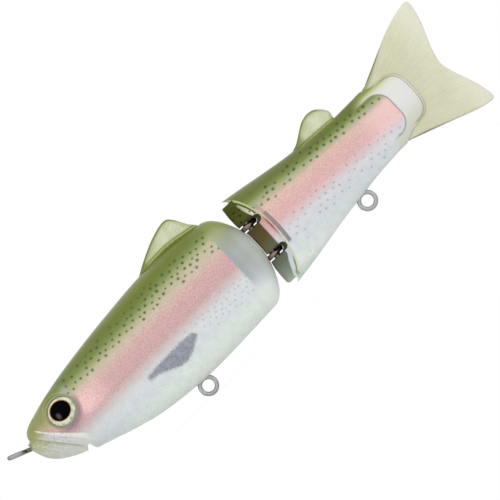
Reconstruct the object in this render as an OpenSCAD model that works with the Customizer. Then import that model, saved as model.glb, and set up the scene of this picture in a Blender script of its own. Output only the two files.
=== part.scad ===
// Two-piece jointed swimbait: a front and a rear body, each of two moulded half shells, that swing on
// one upright pin; wire eyes for the line and the hooks; soft back fins and a tail that pulls out.
// +X runs towards the tail, +Z to the back, and -Y is the fish's left flank.
// The origin is the centre of the line tie's eye. All sizes are in millimetres.

/* [Front body] */
// Length from the lower lip to the end of the wedge
front_len = 92.4; // [86:0.2:98]
// Height of the back above the midline
back_h = 19; // [17:0.2:21]
// Depth of the belly below the midline
belly_h = 17.6; // [16:0.2:19.6]
// Width across both flanks
front_w = 23.2; // [21:0.2:26]
// Length of the wedge that the front body ends in
front_wedge_len = 8.4; // [7.6:0.1:9.6]
// Thickness of the wedge at its end
front_wedge_t = 3.4; // [3:0.1:4]

/* [Rear body] */
// Length from the hinge pin to the end of the tail cheeks
rear_len = 65.1; // [60:0.2:70]
// Width across both flanks at the joint
rear_w = 20.4; // [18.5:0.1:22]
// Thickness over both tail cheeks
cheek_w = 4.8; // [4.6:0.1:5.6]

/* [Shell] */
// Thickness of the flank outside the air chambers
wall = 1.8; // [1.4:0.1:2.4]
// Thickness of the rear skin where it stands free at the joint
rim_t = 1.1; // [0.9:0.1:1.3]

/* [Joint] */
// Diameter of the hinge pin
pin_d = 2.2; // [1.8:0.1:2.4]
// Wire diameter of the two hinge eyes
hinge_wire_d = 1.6; // [1.3:0.1:1.8]
// Height of the upper hinge eye above the midline
upper_eye_z = 7.1; // [6:0.1:8]
// Depth of the lower hinge eye below the midline
lower_eye_depth = 4.5; // [3.6:0.1:5.4]
// Space between a hinge eye and its slot, above and below
slot_gap = 0.6; // [0.4:0.1:0.9]
// Space between the front wedge and the rear tongue
joint_gap = 0.4; // [0.3:0.05:0.7]
// Radius of the tongue's front edge round the pin
tongue_r = 2.5; // [2.1:0.1:2.8]
// Reach of the pin past each hinge slot
pin_reach = 3.2; // [2:0.1:4]

/* [Eyes and wires] */
// Wire diameter of the line tie and the hook hangers
wire_d = 1.4; // [1.1:0.1:1.6]
// Inside diameter of the line tie and the hook hangers
ring_id = 3.8; // [3.2:0.1:4.4]
// Distance of the front hook hanger behind the lower lip
front_hanger_x = 52.7; // [48:0.1:56]
// Distance of the rear hook hanger behind the hinge pin
rear_hanger_x = 31.4; // [28:0.1:34]
// Upward tilt of the line tie
tie_tilt = 21; // [10:1:30]
// Diameter of the moulded eye
eye_d = 8.8; // [7.6:0.1:9.4]
// Height of the eye's clear dome
dome_h = 1.5; // [1:0.1:2]

/* [Fins] */
// Thickness of the tail fin at its root
tail_t = 2.0; // [1.6:0.1:2.4]
// Height of the tail fin over both lobes
tail_h = 39.6; // [34:0.2:44]
// Height of the back fin above its seat
dorsal_h = 6.8; // [5.5:0.1:8]
// Height of the adipose fin above its seat
adipose_h = 5.2; // [4:0.1:6.2]
// Thickness of the back fins at their root
fin_t = 1.8; // [1.4:0.1:2.2]

/* [Ballast] */
// Diameter of the front ballast slugs
front_slug_d = 8.4; // [7:0.2:9]
// Length of the front ballast slugs
front_slug_len = 9; // [7:0.2:10]
// Diameter of the rear ballast slug
rear_slug_d = 5.6; // [4.6:0.2:6]
// Length of the rear ballast slug
rear_slug_len = 6; // [4.6:0.2:7]

/* [Hidden] */

fit = 0.05;          // clearance round a wire, pin or slug in its seat
fin_fit = 0.1;       // clearance round a back fin in its slot
run_fit = 0.3;       // clearance between the pin and a hinge eye
tail_fit = 0.3;      // clearance round the tail's root between its cheeks
round_fn = 48;

FLANK = 22;          // segments of a front flank's outline
REAR_FLANK = 18;     // segments of a rear flank's outline
past = 30;           // reach of a cutter past the body, either way
roundness = 0.9;     // power of a body section: 1 is an ellipse, lower is squarer
waist = 0.52;        // level of the widest line, as a share of the section's height

// ---- places along the body ----
crease_x = front_len - front_wedge_len;
pivot_x = front_len + joint_gap + tongue_r;
rim_tip_x = pivot_x - 1.9;         // foremost points of the rear skin
rim_waist_x = pivot_x + 5.3;       // rim of the rear skin at its widest
tongue_turn = 45;                  // angle of the tongue's facets off the midplane
tail_end_x = pivot_x + rear_len;
cheek_x = tail_end_x - 8;          // start of the cheeks' rounded end
slot_x = tail_end_x - 12.4;        // bottom of the tail slot
lower_eye_z = -lower_eye_depth;

// ---- curves ----
// slope of a curve of points [x, value] at its point i
function slope(c, i) =
    let (a = max(i - 1, 0), b = min(i + 1, len(c) - 1))
    (c[b][1] - c[a][1]) / (c[b][0] - c[a][0]);
function stretch(c, x, i = 0) = i >= len(c) - 2 || x <= c[i + 1][0] ? i : stretch(c, x, i + 1);
// smooth curve through points [x, value]
function curve(c, x) =
    let (i = stretch(c, x), h = c[i + 1][0] - c[i][0], t = (x - c[i][0]) / h)
    (2 * t ^ 3 - 3 * t ^ 2 + 1) * c[i][1] + (t ^ 3 - 2 * t ^ 2 + t) * h * slope(c, i)
    + (3 * t ^ 2 - 2 * t ^ 3) * c[i + 1][1] + (t ^ 3 - t ^ 2) * h * slope(c, i + 1);
// smooth line through points, n steps between each two
function smooth_line(p, n = 3) = concat([for (i = [0 : len(p) - 2]) for (k = [0 : n - 1])
    let (a = p[max(i - 1, 0)], b = p[i], c = p[i + 1], d = p[min(i + 2, len(p) - 1)], t = k / n)
    (2 * b + (c - a) * t + (2 * a - 5 * b + 4 * c - d) * t ^ 2 + (3 * b - a - 3 * c + d) * t ^ 3) / 2],
    [p[len(p) - 1]]);
function ease(a, b, x) = let (t = min(max((x - a) / (b - a), 0), 1)) t * t * (3 - 2 * t);

// ---- front body's form, as shares of its length to the crease and of its sizes ----
FRONT_TOP = [[0, 0.224], [0.015, 0.363], [0.048, 0.468], [0.095, 0.542], [0.167, 0.634], [0.262, 0.726],
    [0.405, 0.832], [0.548, 0.916], [0.69, 0.984], [0.81, 1], [0.905, 0.984], [1, 0.937]];
FRONT_BELLY = [[0, -0.11], [0.012, 0.01], [0.024, 0.125], [0.048, 0.256], [0.095, 0.398], [0.143, 0.5],
    [0.19, 0.591], [0.286, 0.73], [0.405, 0.886], [0.524, 0.966], [0.643, 1], [0.762, 0.989], [1, 0.92]];
FRONT_WIDTH = [[0, 0.2], [0.024, 0.33], [0.048, 0.42], [0.095, 0.57], [0.167, 0.715], [0.262, 0.83],
    [0.405, 0.94], [0.571, 1], [0.714, 1], [0.857, 0.966], [1, 0.905]];

// how far x is down the wedge: 0 at the crease, 1 where its side outline would close
wedge_reach = front_wedge_len / sin(80);
function wedge(x) = min(max((x - crease_x) / wedge_reach, 0), 1);
function front_mid(x) = let (s = min(x / crease_x, 1))
    belly_h * -curve(FRONT_BELLY, s) * (1 - waist) + back_h * curve(FRONT_TOP, s) * waist;
function front_top(x) = let (s = min(x / crease_x, 1))
    front_mid(x) + (back_h * curve(FRONT_TOP, s) - front_mid(x)) * sqrt(1 - wedge(x) ^ 2);
function front_bottom(x) = let (s = min(x / crease_x, 1))
    front_mid(x) - (belly_h * curve(FRONT_BELLY, s) + front_mid(x)) * sqrt(1 - wedge(x) ^ 2);
function front_half(x) = let (full = front_w / 2 * curve(FRONT_WIDTH, min(x / crease_x, 1)),
    t = wedge(x) * wedge_reach / front_wedge_len)
    full * (1 - t) + front_wedge_t / 2 * t;

// the lips: the lower one stands ahead of the upper one, and the nose is round in plan
nose_r = 1.2;        // length of the nose's rounding
lip_step = 1.05;     // how far the upper lip stands back
mouth_z = 4.7;       // level of the mouth at the lips
jaw_lean = 40;       // lean of the jaw line back from upright
mouth_d = 5.1;       // distance of the mouth line from the origin, square to the jaw line
plate_w = 2.9;       // width of the jaw plate above the mouth
mouth_cut = 0.4;     // depth of the groove at the mouth
plate_cut = 0.35;    // depth of the jaw plate
jaw_notch = [[11.8, -10], [13.2, -7.7], [14.4, -7.5], [14.9, -9.2], [15.5, -13]];
function snout(x) = sqrt(1 - 0.98 * max(1 - x / nose_r, 0) ^ 2);
function above_mouth(x, z) = max(z - mouth_z, x * cos(jaw_lean) + z * sin(jaw_lean) - mouth_d);
function set_back(x, z) = lip_step * ease(0.05, 0.35, above_mouth(x, z)) * max(1 - x / 4, 0) ^ 2;
function relief(x, z) = let (up = above_mouth(x, z))
    (plate_cut * ease(0, 1, up) * (1 - ease(plate_w - 0.8, plate_w + 0.2, up)) * (1 - ease(15, 17, x))
    + mouth_cut * max(1 - abs(up), 0) * (1 - ease(13, 14, x))) * ease(1.5, 3, x);

// ---- rear body's form, from the foremost points of its skin to the tail slot ----
REAR_TOP = [[0, 18.1], [0.12, 17.2], [0.27, 15.9], [0.42, 14.7], [0.6, 13.7], [0.78, 13.1], [0.93, 13.2],
    [1, 12.9], [1.06, 12.2], [1.12, 11.9]];
REAR_BELLY = [[0, 15.8], [0.12, 14.8], [0.27, 13.3], [0.42, 11.7], [0.6, 10.1], [0.78, 8.7], [0.93, 8],
    [1, 7.4], [1.06, 6.3], [1.12, 5.6]];
REAR_WIDTH = [[0, 1], [0.13, 0.99], [0.25, 0.93], [0.4, 0.79], [0.55, 0.65], [0.7, 0.51], [0.84, 0.38],
    [0.95, 0.27]];
rear_step = slot_x - rim_tip_x;
function rear_share(x) = (x - rim_tip_x) / rear_step;
// rounding of the cheeks' end in side view
cheek_power = 3.2;
function cheek(x) = let (t = min(max((x - cheek_x) / (tail_end_x - cheek_x), 0), 1))
    (1 - (0.985 * t) ^ cheek_power) ^ (1 / cheek_power);
function rear_raw_top(x) = curve(REAR_TOP, min(rear_share(x), 1.12));
function rear_raw_bottom(x) = -curve(REAR_BELLY, min(rear_share(x), 1.12));
function rear_mid(x) = rear_raw_bottom(x) * (1 - waist) + rear_raw_top(x) * waist;
function rear_top(x) = rear_mid(x) + (rear_raw_top(x) - rear_mid(x)) * cheek(x);
function rear_bottom(x) = rear_mid(x) + (rear_raw_bottom(x) - rear_mid(x)) * cheek(x);
function rear_half(x) = let (s = rear_share(x), blend = ease(0.86, 1.02, s))
    rear_w / 2 * curve(REAR_WIDTH, min(s, 0.95)) * (1 - blend) + cheek_w / 2 * blend;
function rear_power(x) = roundness - 0.4 * ease(0.86, 1.05, rear_share(x));

// ---- sections ----
// the right half of a section at x, from the keel to the back
function flank(x, half, top, bottom, mid, p, n) = [for (j = [0 : n])
    let (a = -90 + 180 * j / n, s = sin(a), h = s < 0 ? mid - bottom : top - mid,
        z = mid + sign(s) * h * abs(s) ^ p)
    [x, half * cos(a) ^ p, z]];
// half width of the front body at a point of its side view
function front_skin(x, z) = let (m = front_mid(x),
    t = min(abs(z - m) / (z < m ? m - front_bottom(x) : front_top(x) - m), 1), a = asin(t ^ (1 / roundness)))
    front_half(x) * cos(a) ^ roundness;

FRONT_X = concat([0, 0.12, 0.35, 0.6, 0.75, 0.95, 1.4], [for (x = [2 : 0.6 : 20]) x],
    [for (k = [1 : 18]) 20 + (crease_x - 20) * k / 18],
    [for (a = [14, 28, 40, 52, 62, 72, 80]) crease_x + wedge_reach * sin(a)]);
REAR_X = concat([pivot_x - tongue_r], [for (k = [0 : 20]) rim_tip_x + rear_step * k / 20],
    [for (t = [0.5, 1]) slot_x + (cheek_x - slot_x) * t],
    [for (t = [0.3, 0.5, 0.68, 0.82, 0.92, 0.975, 1]) cheek_x + (tail_end_x - cheek_x) * t]);

// flat seat that blends into the cheek round the eye
function seated(x, y, z) = let (away = norm([x, z] - eye_at), hold = y < 2 ? 0 : 1 - ease(4.9, 8.2, away),
    seat = front_skin(eye_at[0], eye_at[1]) - eye_inset + (x - eye_at[0]) * tan(eye_turn)
    - (z - eye_at[1]) * tan(eye_roll))
    y * (1 - hold) + seat * hold;
function front_ring(x) = let (m = front_mid(x), r = snout(x))
    [for (q = flank(x, front_half(x) * r, m + (front_top(x) - m) * r, m + (front_bottom(x) - m) * r, m,
    roundness, FLANK)) let (y = seated(q[0], q[1], q[2]))
    [q[0] + set_back(q[0], q[2]), max(y - relief(q[0], q[2]) * min(y / 2, 1), 0), q[2]]];
function rear_ring(x, inset = 0, n = REAR_FLANK) = flank(x, rear_half(x) - inset, rear_top(x) - inset,
    rear_bottom(x) + inset, rear_mid(x), rear_power(x), n);

// solid through closed rings of points that all run the same way round
module loft(rings) {
    n = len(rings);
    m = len(rings[0]);
    sides = [for (i = [0 : n - 2]) for (j = [0 : m - 1]) let (k = (j + 1) % m)
        each [[i * m + j, (i + 1) * m + j, (i + 1) * m + k], [i * m + j, (i + 1) * m + k, i * m + k]]];
    front_cap = [for (j = [0 : m - 1]) j];
    back_cap = [for (j = [m - 1 : -1 : 0]) (n - 1) * m + j];
    polyhedron([for (r = rings) each r], concat(sides, [front_cap, back_cap]));
}

// ---- places of the small parts ----
ring_r = (ring_id + wire_d) / 2;                       // middle of a ring's wire
hinge_ring_r = pin_d / 2 + run_fit + hinge_wire_d / 2;
hinge_ring_out = hinge_ring_r + hinge_wire_d / 2;
tie_at = [-(ring_r + wire_d / 2) * cos(tie_tilt) - 1.1, 0, 4.9];
tie_shank = 15;
hanger_drop = 2.3;                                     // ring's centre below the belly
hanger_shank = 5;
hinge_shank = 13;
front_hanger_at = [front_hanger_x, 0, front_bottom(front_hanger_x) - hanger_drop];
rear_hanger_at = [pivot_x + rear_hanger_x, 0, rear_bottom(pivot_x + rear_hanger_x) - hanger_drop];
slot_h = hinge_wire_d + 2 * slot_gap;
slot_end = hinge_ring_out + 1.5;                       // round end of a hinge slot behind the pin
web_t = 1.6;                                           // web between the slots' ends of the two flanks
pin_low = -lower_eye_depth - slot_h / 2 - pin_reach;
pin_high = upper_eye_z + slot_h / 2 + pin_reach;

eye_at = [15, 5.5];
eye_sink = 0.75;                                       // rim of the eye below the cheek
eye_inset = 0.3;                                       // depth of the flat seat round the eye
eye_seat = 0.8;                                        // depth of the dome's straight edge
collar_h = 0.6;                                        // height of the collar over the dome's edge
foil_t = 0.4;
collar_w = 0.7;                                        // moulded collar round the eye
eye_turn = atan((front_skin(eye_at[0] + 3, eye_at[1]) - front_skin(eye_at[0] - 3, eye_at[1])) / 6);
eye_roll = atan((front_skin(eye_at[0], eye_at[1] - 3) - front_skin(eye_at[0], eye_at[1] + 3)) / 6);

keel_z = -3.5;                                         // floor of the front air chambers
rear_keel_z = -2;                                      // floor of the rear air chamber
front_chambers = [[25, 46], [55, 76]];
rear_chamber = [pivot_x + 12, pivot_x + 40];
rear_roof = 3.4;                                       // room over the rear chamber for the fin's plug
front_slugs = [[41, -9.5], [64.5, -9.5]];
rear_slug = [pivot_x + 14, -6.8];
tongue_top = 16.3;
tongue_bottom = -14.1;
dorsal_x = crease_x - 23.5;                            // front end of the back fin
dorsal_l = 24;
adipose_x = pivot_x + 24.7;
adipose_l = 17.2;
plug = 3;                                              // depth of a back fin in its slot
post_d = 3.4;                                          // moulded post that the tail clips round
post_at = [slot_x + 5.4, 3.4];
peg_d = 2.4;                                           // locating pegs between the half shells
peg_l = 1.8;
FRONT_PEGS = [[21, -3.5], [50.5, 6], [79.5, -11]];
REAR_PEGS = [[pivot_x + 8.7, 12], [pivot_x + 9, -11], [pivot_x + 46, 6.5]];

// fins in side view, as shares of their length and height
DORSAL = [[0, 0], [0.1, 0.24], [0.23, 0.51], [0.35, 0.7], [0.48, 0.85], [0.6, 0.96], [0.69, 1],
    [0.75, 0.95], [0.79, 0.76], [0.83, 0.5], [0.9, 0.18], [1, -0.12]];
ADIPOSE = [[0, 0.02], [0.12, 0.13], [0.24, 0.36], [0.36, 0.58], [0.47, 0.85], [0.59, 0.97], [0.68, 1],
    [0.77, 0.95], [0.89, 0.7], [0.98, 0.36], [1, 0.1], [0.96, -0.1]];
// tail in side view from its front edge: distance back, and height as a share of the tail's height
TAIL = [[0, 0.235], [3.7, 0.275], [11.7, 0.371], [19.7, 0.46], [23.7, 0.495], [26.7, 0.505], [28.8, 0.5],
    [29.3, 0.475], [28.3, 0.38], [25.8, 0.19], [23.8, 0.04], [23.3, -0.03], [23.6, -0.08], [25.7, -0.22],
    [27.6, -0.35], [28.6, -0.46], [28.4, -0.495], [27, -0.505], [23.7, -0.49], [15.7, -0.425],
    [7.7, -0.352], [0, -0.29]];
tail_mid_z = 3.9;
tail_flat = 13;                                        // length of the tail's root that keeps its thickness
tail_l = 30;                                           // length of the tail over its lobes
tail_tip_t = 0.8;                                      // thickness of the lobes' ends
post_rise = 0.7;                                       // reach of the post past half the tail's thickness

module in_frame() translate(-tie_at) children();
module mirrored(left) mirror([0, left ? 1 : 0, 0]) children();
// upright plate of a side outline in x and z
module plate(points, t) rotate([90, 0, 0]) translate([0, 0, -t / 2]) linear_extrude(t) polygon(points);
// round bar across the body
module bar(x, z, d, l) translate([x, l / 2, z]) rotate([90, 0, 0]) cylinder(d = d, h = l, $fn = round_fn);

// ---- wires ----
module ring(w, r) rotate_extrude($fn = round_fn) translate([r, 0]) circle(w, $fn = 20);
// round wire from a point, turned by angles from upright, with a ball at its far end
module leg(at, turn, l, w) translate(at) rotate(turn) {
    cylinder(r = w, h = l, $fn = 20);
    translate([0, 0, l]) sphere(w, $fn = 20);
}
module tie_wire(grow = 0) translate(tie_at) rotate([0, tie_tilt, 0]) {
    w = wire_d / 2 + grow;
    ring(w, ring_r);
    leg([ring_r, 0, 0], [0, 90, 0], tie_shank, w);
    leg([ring_r + tie_shank, 0, 0], [0, 0, 0], 5, w);
}
module hanger_wire(at, grow = 0) translate(at) {
    w = wire_d / 2 + grow;
    rotate([90, 0, 0]) ring(w, ring_r);
    leg([0, 0, ring_r], [0, 0, 0], hanger_shank, w);
    leg([0, 0, ring_r + hanger_shank], [0, 90, 0], 3, w);
}
module hinge_wire(z, grow = 0) translate([pivot_x, 0, z]) {
    w = hinge_wire_d / 2 + grow;
    ring(w, hinge_ring_r);
    leg([-hinge_ring_r, 0, 0], [0, -90, 0], hinge_shank, w);
    leg([-hinge_ring_r - hinge_shank, 0, 0], [0, 0, 0], 4, w);
}
module pin(grow = 0) translate([pivot_x, 0, pin_low - grow])
    cylinder(d = pin_d + 2 * grow, h = pin_high - pin_low + 2 * grow, $fn = round_fn);

// ---- eyes ----
// the eye's own frame on the right cheek: +Z points out of the head
module at_eye() translate([eye_at[0], front_skin(eye_at[0], eye_at[1]), eye_at[1]])
    rotate([0, 0, eye_turn]) rotate([eye_roll - 90, 0, 0]) translate([0, 0, -eye_sink]) children();
module eye_foil() at_eye() translate([0, 0, -eye_seat - foil_t])
    cylinder(d = eye_d - 2 * fit, h = foil_t, $fn = round_fn);
module eye_dome() at_eye() rotate_extrude($fn = round_fn) {
    r = eye_d / 2 - fit;
    ball = (r ^ 2 + dome_h ^ 2) / (2 * dome_h);
    edge = asin(r / ball);
    polygon(concat([[0, -eye_seat], [r, -eye_seat]],
        [for (k = [8 : -1 : 0]) [ball * sin(edge * k / 8), ball * cos(edge * k / 8) + dome_h - ball]]));
}

// ---- fins ----
function fin_points(x, z, l, h, shape) = concat(smooth_line([for (p = shape) [x + l * p[0], z + h * p[1]]]),
    [[x + l * 0.94, z - plug], [x + l * 0.04, z - plug]]);
dorsal_z = front_top(dorsal_x + 2);
adipose_z = rear_top(adipose_x + 3);
module fin_taper(x, l, z, h) translate([x - 1, 0, 0]) rotate([90, 0, 90]) linear_extrude(l + 2)
    polygon([[-fin_t / 2, z - plug - 1], [fin_t / 2, z - plug - 1], [fin_t / 2, z + 0.6],
        [0.35, z + h + 0.1], [-0.35, z + h + 0.1], [-fin_t / 2, z + 0.6]]);
module back_fin(x, z, l, h, shape) intersection() {
    plate(fin_points(x, z, l, h, shape), fin_t + 1);
    fin_taper(x, l, z, h);
}
module fin_slot(x, z, l) translate([x - fin_fit, -fin_t / 2 - fin_fit, z - plug - fin_fit])
    cube([l + 2 * fin_fit, fin_t + 2 * fin_fit, plug + 4]);
module tail() {
    x0 = slot_x + tail_fit;
    difference() {
        intersection() {
            plate(smooth_line([for (p = TAIL) [x0 + p[0], tail_mid_z + tail_h * p[1]]]), tail_t + 1);
            translate([0, 0, -past]) linear_extrude(2 * past) polygon([[x0 - 1, -tail_t / 2],
                [x0 + tail_flat, -tail_t / 2], [x0 + tail_l, -tail_tip_t / 2], [x0 + tail_l, tail_tip_t / 2],
                [x0 + tail_flat, tail_t / 2], [x0 - 1, tail_t / 2]]);
        }
        bar(post_at[0], post_at[1], post_d + 2 * tail_fit, tail_t + 2);
        translate([x0 - 2, -tail_t, post_at[1] - post_d / 2 - tail_fit])
            cube([post_at[0] - x0 + 2, 2 * tail_t, post_d + 2 * tail_fit]);
    }
}

// ---- front half shell, made as the right one ----
module chamber(xs, half, top, bottom) loft([for (i = [0 : len(xs) - 1])
    flank(xs[i], half[i], top[i], bottom, (top[i] + bottom) / 2, 0.8, 8)]);
module front_chamber(a, b) {
    xs = [for (k = [0 : 4]) a + (b - a) * k / 4];
    chamber(xs, [for (x = xs) front_half(x) - wall],
        [for (x = xs) min(front_top(x) - wall - 1.5, 13)], keel_z);
}
module front_half_shell(pegs) {
    difference() {
        union() {
            loft([for (x = FRONT_X) front_ring(x)]);
            at_eye() translate([0, 0, -2])
                cylinder(d = eye_d + 2 * collar_w, h = 2 + collar_h, $fn = round_fn);
        }
        for (c = front_chambers) front_chamber(c[0], c[1]);
        for (p = front_slugs) bar(p[0], p[1], front_slug_d + 2 * fit, front_slug_len + 2 * fit);
        plate(jaw_notch, 30);
        at_eye() translate([0, 0, -eye_seat - foil_t]) cylinder(d = eye_d, h = 9, $fn = round_fn);
        tie_wire(fit);
        hanger_wire(front_hanger_at, fit);
        hinge_wire(upper_eye_z, fit);
        hinge_wire(lower_eye_z, fit);
        fin_slot(dorsal_x, dorsal_z, dorsal_l);
        if (!pegs) for (p = FRONT_PEGS) bar(p[0], p[1], peg_d + 2 * fit, 2 * peg_l + 2 * fit);
    }
    if (pegs) for (p = FRONT_PEGS) translate([0, -peg_l / 2, 0]) bar(p[0], p[1], peg_d, peg_l);
}

// ---- rear half shell, made as the right one ----
// side of the tongue: a round nose on the pin and two facets that open backwards
module tongue_plan() {
    circle(tongue_r, $fn = round_fn);
    polygon([[-tongue_r * sin(tongue_turn), tongue_r * cos(tongue_turn)],
        [-tongue_r * sin(tongue_turn) + 12, tongue_r * cos(tongue_turn) + 12 * tan(tongue_turn)],
        [20, 20], [20, -3], [0, -tongue_r]]);
}
module tongue() translate([pivot_x, 0, 0]) {
    translate([0, 0, tongue_bottom]) linear_extrude(tongue_top - tongue_bottom) tongue_plan();
    translate([2.2, -3, -past]) cube([20, 8, 2 * past]);
}
// everything ahead of the rear skin's rim
module ahead_of_rim() {
    k = rear_w / 2 / (rim_waist_x - rim_tip_x);
    translate([0, 0, -past]) linear_extrude(2 * past) polygon([[pivot_x - 12, -1], [rim_tip_x, -1],
        [rim_tip_x, 0], [rim_tip_x + 12, 12 * k], [pivot_x - 12, 12 * k]]);
}
module rear_core() loft([for (x = [pivot_x - tongue_r - 0.5, pivot_x, pivot_x + 3, pivot_x + 7])
    [for (q = rear_ring(x, rim_t, 12)) [q[0], q[1], q[2]]]]);
// slot for a hinge eye: open across the midplane round the pin, with a blind round end in each flank
module hinge_slot(z) {
    translate([pivot_x - 10, -1, z - slot_h / 2]) cube([10 + hinge_ring_out + run_fit, 2, slot_h]);
    translate([0, web_t / 2, 0]) {
        translate([0, past / 2, 0]) bar(pivot_x + slot_end - slot_h / 2, z, slot_h, past);
        translate([pivot_x - 10, 0, z - slot_h / 2]) cube([10 + slot_end - slot_h / 2, past, slot_h]);
    }
}
module rear_half_shell(pegs) {
    difference() {
        loft([for (x = REAR_X) rear_ring(x)]);
        difference() {
            union() {
                ahead_of_rim();
                rear_core();
            }
            tongue();
        }
        for (z = [upper_eye_z, lower_eye_z]) hinge_slot(z);
        pin(fit);
        rear_air();
        bar(rear_slug[0], rear_slug[1], rear_slug_d + 2 * fit, rear_slug_len + 2 * fit);
        hanger_wire(rear_hanger_at, fit);
        fin_slot(adipose_x, adipose_z, adipose_l);
        translate([slot_x, -tail_t / 2 - tail_fit, -past]) cube([past, tail_t + 2 * tail_fit, 2 * past]);
        if (!pegs) for (p = REAR_PEGS) bar(p[0], p[1], peg_d + 2 * fit, 2 * peg_l + 2 * fit);
    }
    translate([0, tail_t / 4 + post_rise, 0])
        bar(post_at[0], post_at[1], post_d, tail_t / 2 + 2 * post_rise);
    if (pegs) for (p = REAR_PEGS) translate([0, -peg_l / 2, 0]) bar(p[0], p[1], peg_d, peg_l);
}
module rear_air() {
    xs = [for (k = [0 : 4]) rear_chamber[0] + (rear_chamber[1] - rear_chamber[0]) * k / 4];
    chamber(xs, [for (x = xs) rear_half(x) - wall], [for (x = xs) rear_top(x) - wall - rear_roof],
        rear_keel_z);
}

// ---- nodes ----
module front_shell_left() color("Honeydew", 0.8) in_frame() mirrored(true) front_half_shell(true);
module front_shell_right() color("Honeydew", 0.8) in_frame() front_half_shell(false);
module rear_shell_left() color("Honeydew", 0.8) in_frame() mirrored(true) rear_half_shell(true);
module rear_shell_right() color("Honeydew", 0.8) in_frame() rear_half_shell(false);
module line_tie() color("Silver") in_frame() tie_wire();
module front_hook_hanger() color("Silver") in_frame() hanger_wire(front_hanger_at);
module rear_hook_hanger() color("Silver") in_frame() hanger_wire(rear_hanger_at);
module upper_hinge_eye() color("Silver") in_frame() hinge_wire(upper_eye_z);
module lower_hinge_eye() color("Silver") in_frame() hinge_wire(lower_eye_z);
module hinge_pin() color("Gray") in_frame() pin();
module eye_foil_left() color("Gold") in_frame() mirrored(true) eye_foil();
module eye_foil_right() color("Gold") in_frame() eye_foil();
module eye_dome_left() color("Black") in_frame() mirrored(true) eye_dome();
module eye_dome_right() color("Black") in_frame() eye_dome();
module dorsal_fin() color("DarkKhaki") in_frame() back_fin(dorsal_x, dorsal_z, dorsal_l, dorsal_h, DORSAL);
module adipose_fin() color("DarkKhaki") in_frame()
    back_fin(adipose_x, adipose_z, adipose_l, adipose_h, ADIPOSE);
module tail_fin() color("Beige") in_frame() tail();
module fore_ballast() color("SlateGray") in_frame()
    bar(front_slugs[0][0], front_slugs[0][1], front_slug_d, front_slug_len);
module aft_ballast() color("SlateGray") in_frame()
    bar(front_slugs[1][0], front_slugs[1][1], front_slug_d, front_slug_len);
module rear_ballast() color("SlateGray") in_frame()
    bar(rear_slug[0], rear_slug[1], rear_slug_d, rear_slug_len);

front_shell_left();
front_shell_right();
rear_shell_left();
rear_shell_right();
line_tie();
front_hook_hanger();
rear_hook_hanger();
upper_hinge_eye();
lower_hinge_eye();
hinge_pin();
eye_foil_left();
eye_foil_right();
eye_dome_left();
eye_dome_right();
dorsal_fin();
adipose_fin();
tail_fin();
fore_ballast();
aft_ballast();
rear_ballast();
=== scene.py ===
# %% [markdown]
# # A jointed swimbait
# A hard fishing lure in two sections, shaped and painted like a small trout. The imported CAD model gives
# every size and place. This file puts smooth skins, paint, moulded eyes and soft fins over it, so that each
# piece still rides on the body it belongs to and the joint still swings.

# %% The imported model
import math

import bmesh
import bpy
import numpy as np
from mathutils import Matrix, Vector


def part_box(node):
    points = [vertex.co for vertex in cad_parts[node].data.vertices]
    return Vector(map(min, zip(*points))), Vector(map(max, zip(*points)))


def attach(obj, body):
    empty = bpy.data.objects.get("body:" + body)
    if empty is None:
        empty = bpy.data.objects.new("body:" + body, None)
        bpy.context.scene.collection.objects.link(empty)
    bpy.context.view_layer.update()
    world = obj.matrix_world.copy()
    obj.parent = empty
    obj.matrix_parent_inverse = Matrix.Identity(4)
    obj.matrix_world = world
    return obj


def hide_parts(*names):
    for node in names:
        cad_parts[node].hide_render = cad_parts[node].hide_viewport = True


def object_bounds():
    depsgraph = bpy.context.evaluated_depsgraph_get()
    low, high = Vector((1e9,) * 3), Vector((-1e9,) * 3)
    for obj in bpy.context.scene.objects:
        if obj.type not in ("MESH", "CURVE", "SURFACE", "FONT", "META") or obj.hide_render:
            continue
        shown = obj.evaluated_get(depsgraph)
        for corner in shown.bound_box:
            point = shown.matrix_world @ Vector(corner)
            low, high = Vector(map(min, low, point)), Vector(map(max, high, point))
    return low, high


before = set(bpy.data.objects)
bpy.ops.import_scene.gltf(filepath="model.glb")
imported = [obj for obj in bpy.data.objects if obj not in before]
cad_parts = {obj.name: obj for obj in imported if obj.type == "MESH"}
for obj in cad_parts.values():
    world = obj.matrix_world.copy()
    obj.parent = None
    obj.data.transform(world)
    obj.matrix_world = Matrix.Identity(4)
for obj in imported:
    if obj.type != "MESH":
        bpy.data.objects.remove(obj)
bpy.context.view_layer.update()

# %% [markdown]
# ## Where things are
# It is easier to shape a lure in its own millimetres, measured back from the lower lip and up from the
# midline, than in metres from the line tie. So one function carries a point from the lure's own measure
# into the frame, and every place below comes from the boxes of the CAD nodes, the hinge pin's among them.

# %% The lure's own measure
MM = 0.001
FRONT_LEN = 92.4
BACK_H = 19.0
BELLY_H = 17.6
FRONT_W = 23.2
REAR_W = 20.4

front_high = Vector(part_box("front_shell_left")[1])
pin_low, pin_high = (Vector(v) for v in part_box("hinge_pin"))
lip = Vector((front_high.x - FRONT_LEN * MM, 0, front_high.z - BACK_H * MM))


def own(point):
    """A frame point in the lure's own millimetres."""
    return (Vector(point) - lip) / MM


def place(points):
    """Points in the lure's own millimetres, in the frame's metres."""
    return np.asarray(points, float) * MM + np.array(lip)


PIVOT_X = own((pin_low + pin_high) / 2).x
REAR_END = own(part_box("rear_shell_left")[1]).x
TAIL_X = own(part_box("tail_fin")[0]).x
print("front", round(FRONT_LEN, 2), "pivot", round(PIVOT_X, 2), "rear end", round(REAR_END, 2))

# %% [markdown]
# ## Curves
# A moulded lure has no straight line on it. Its back, belly and width are smooth curves through a few
# stations, like the lines of a boat. They could be Bezier curves drawn by hand. A cubic curve in code passes
# through each station, needs no more than a dozen of them and can be asked for its height at any place.


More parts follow.
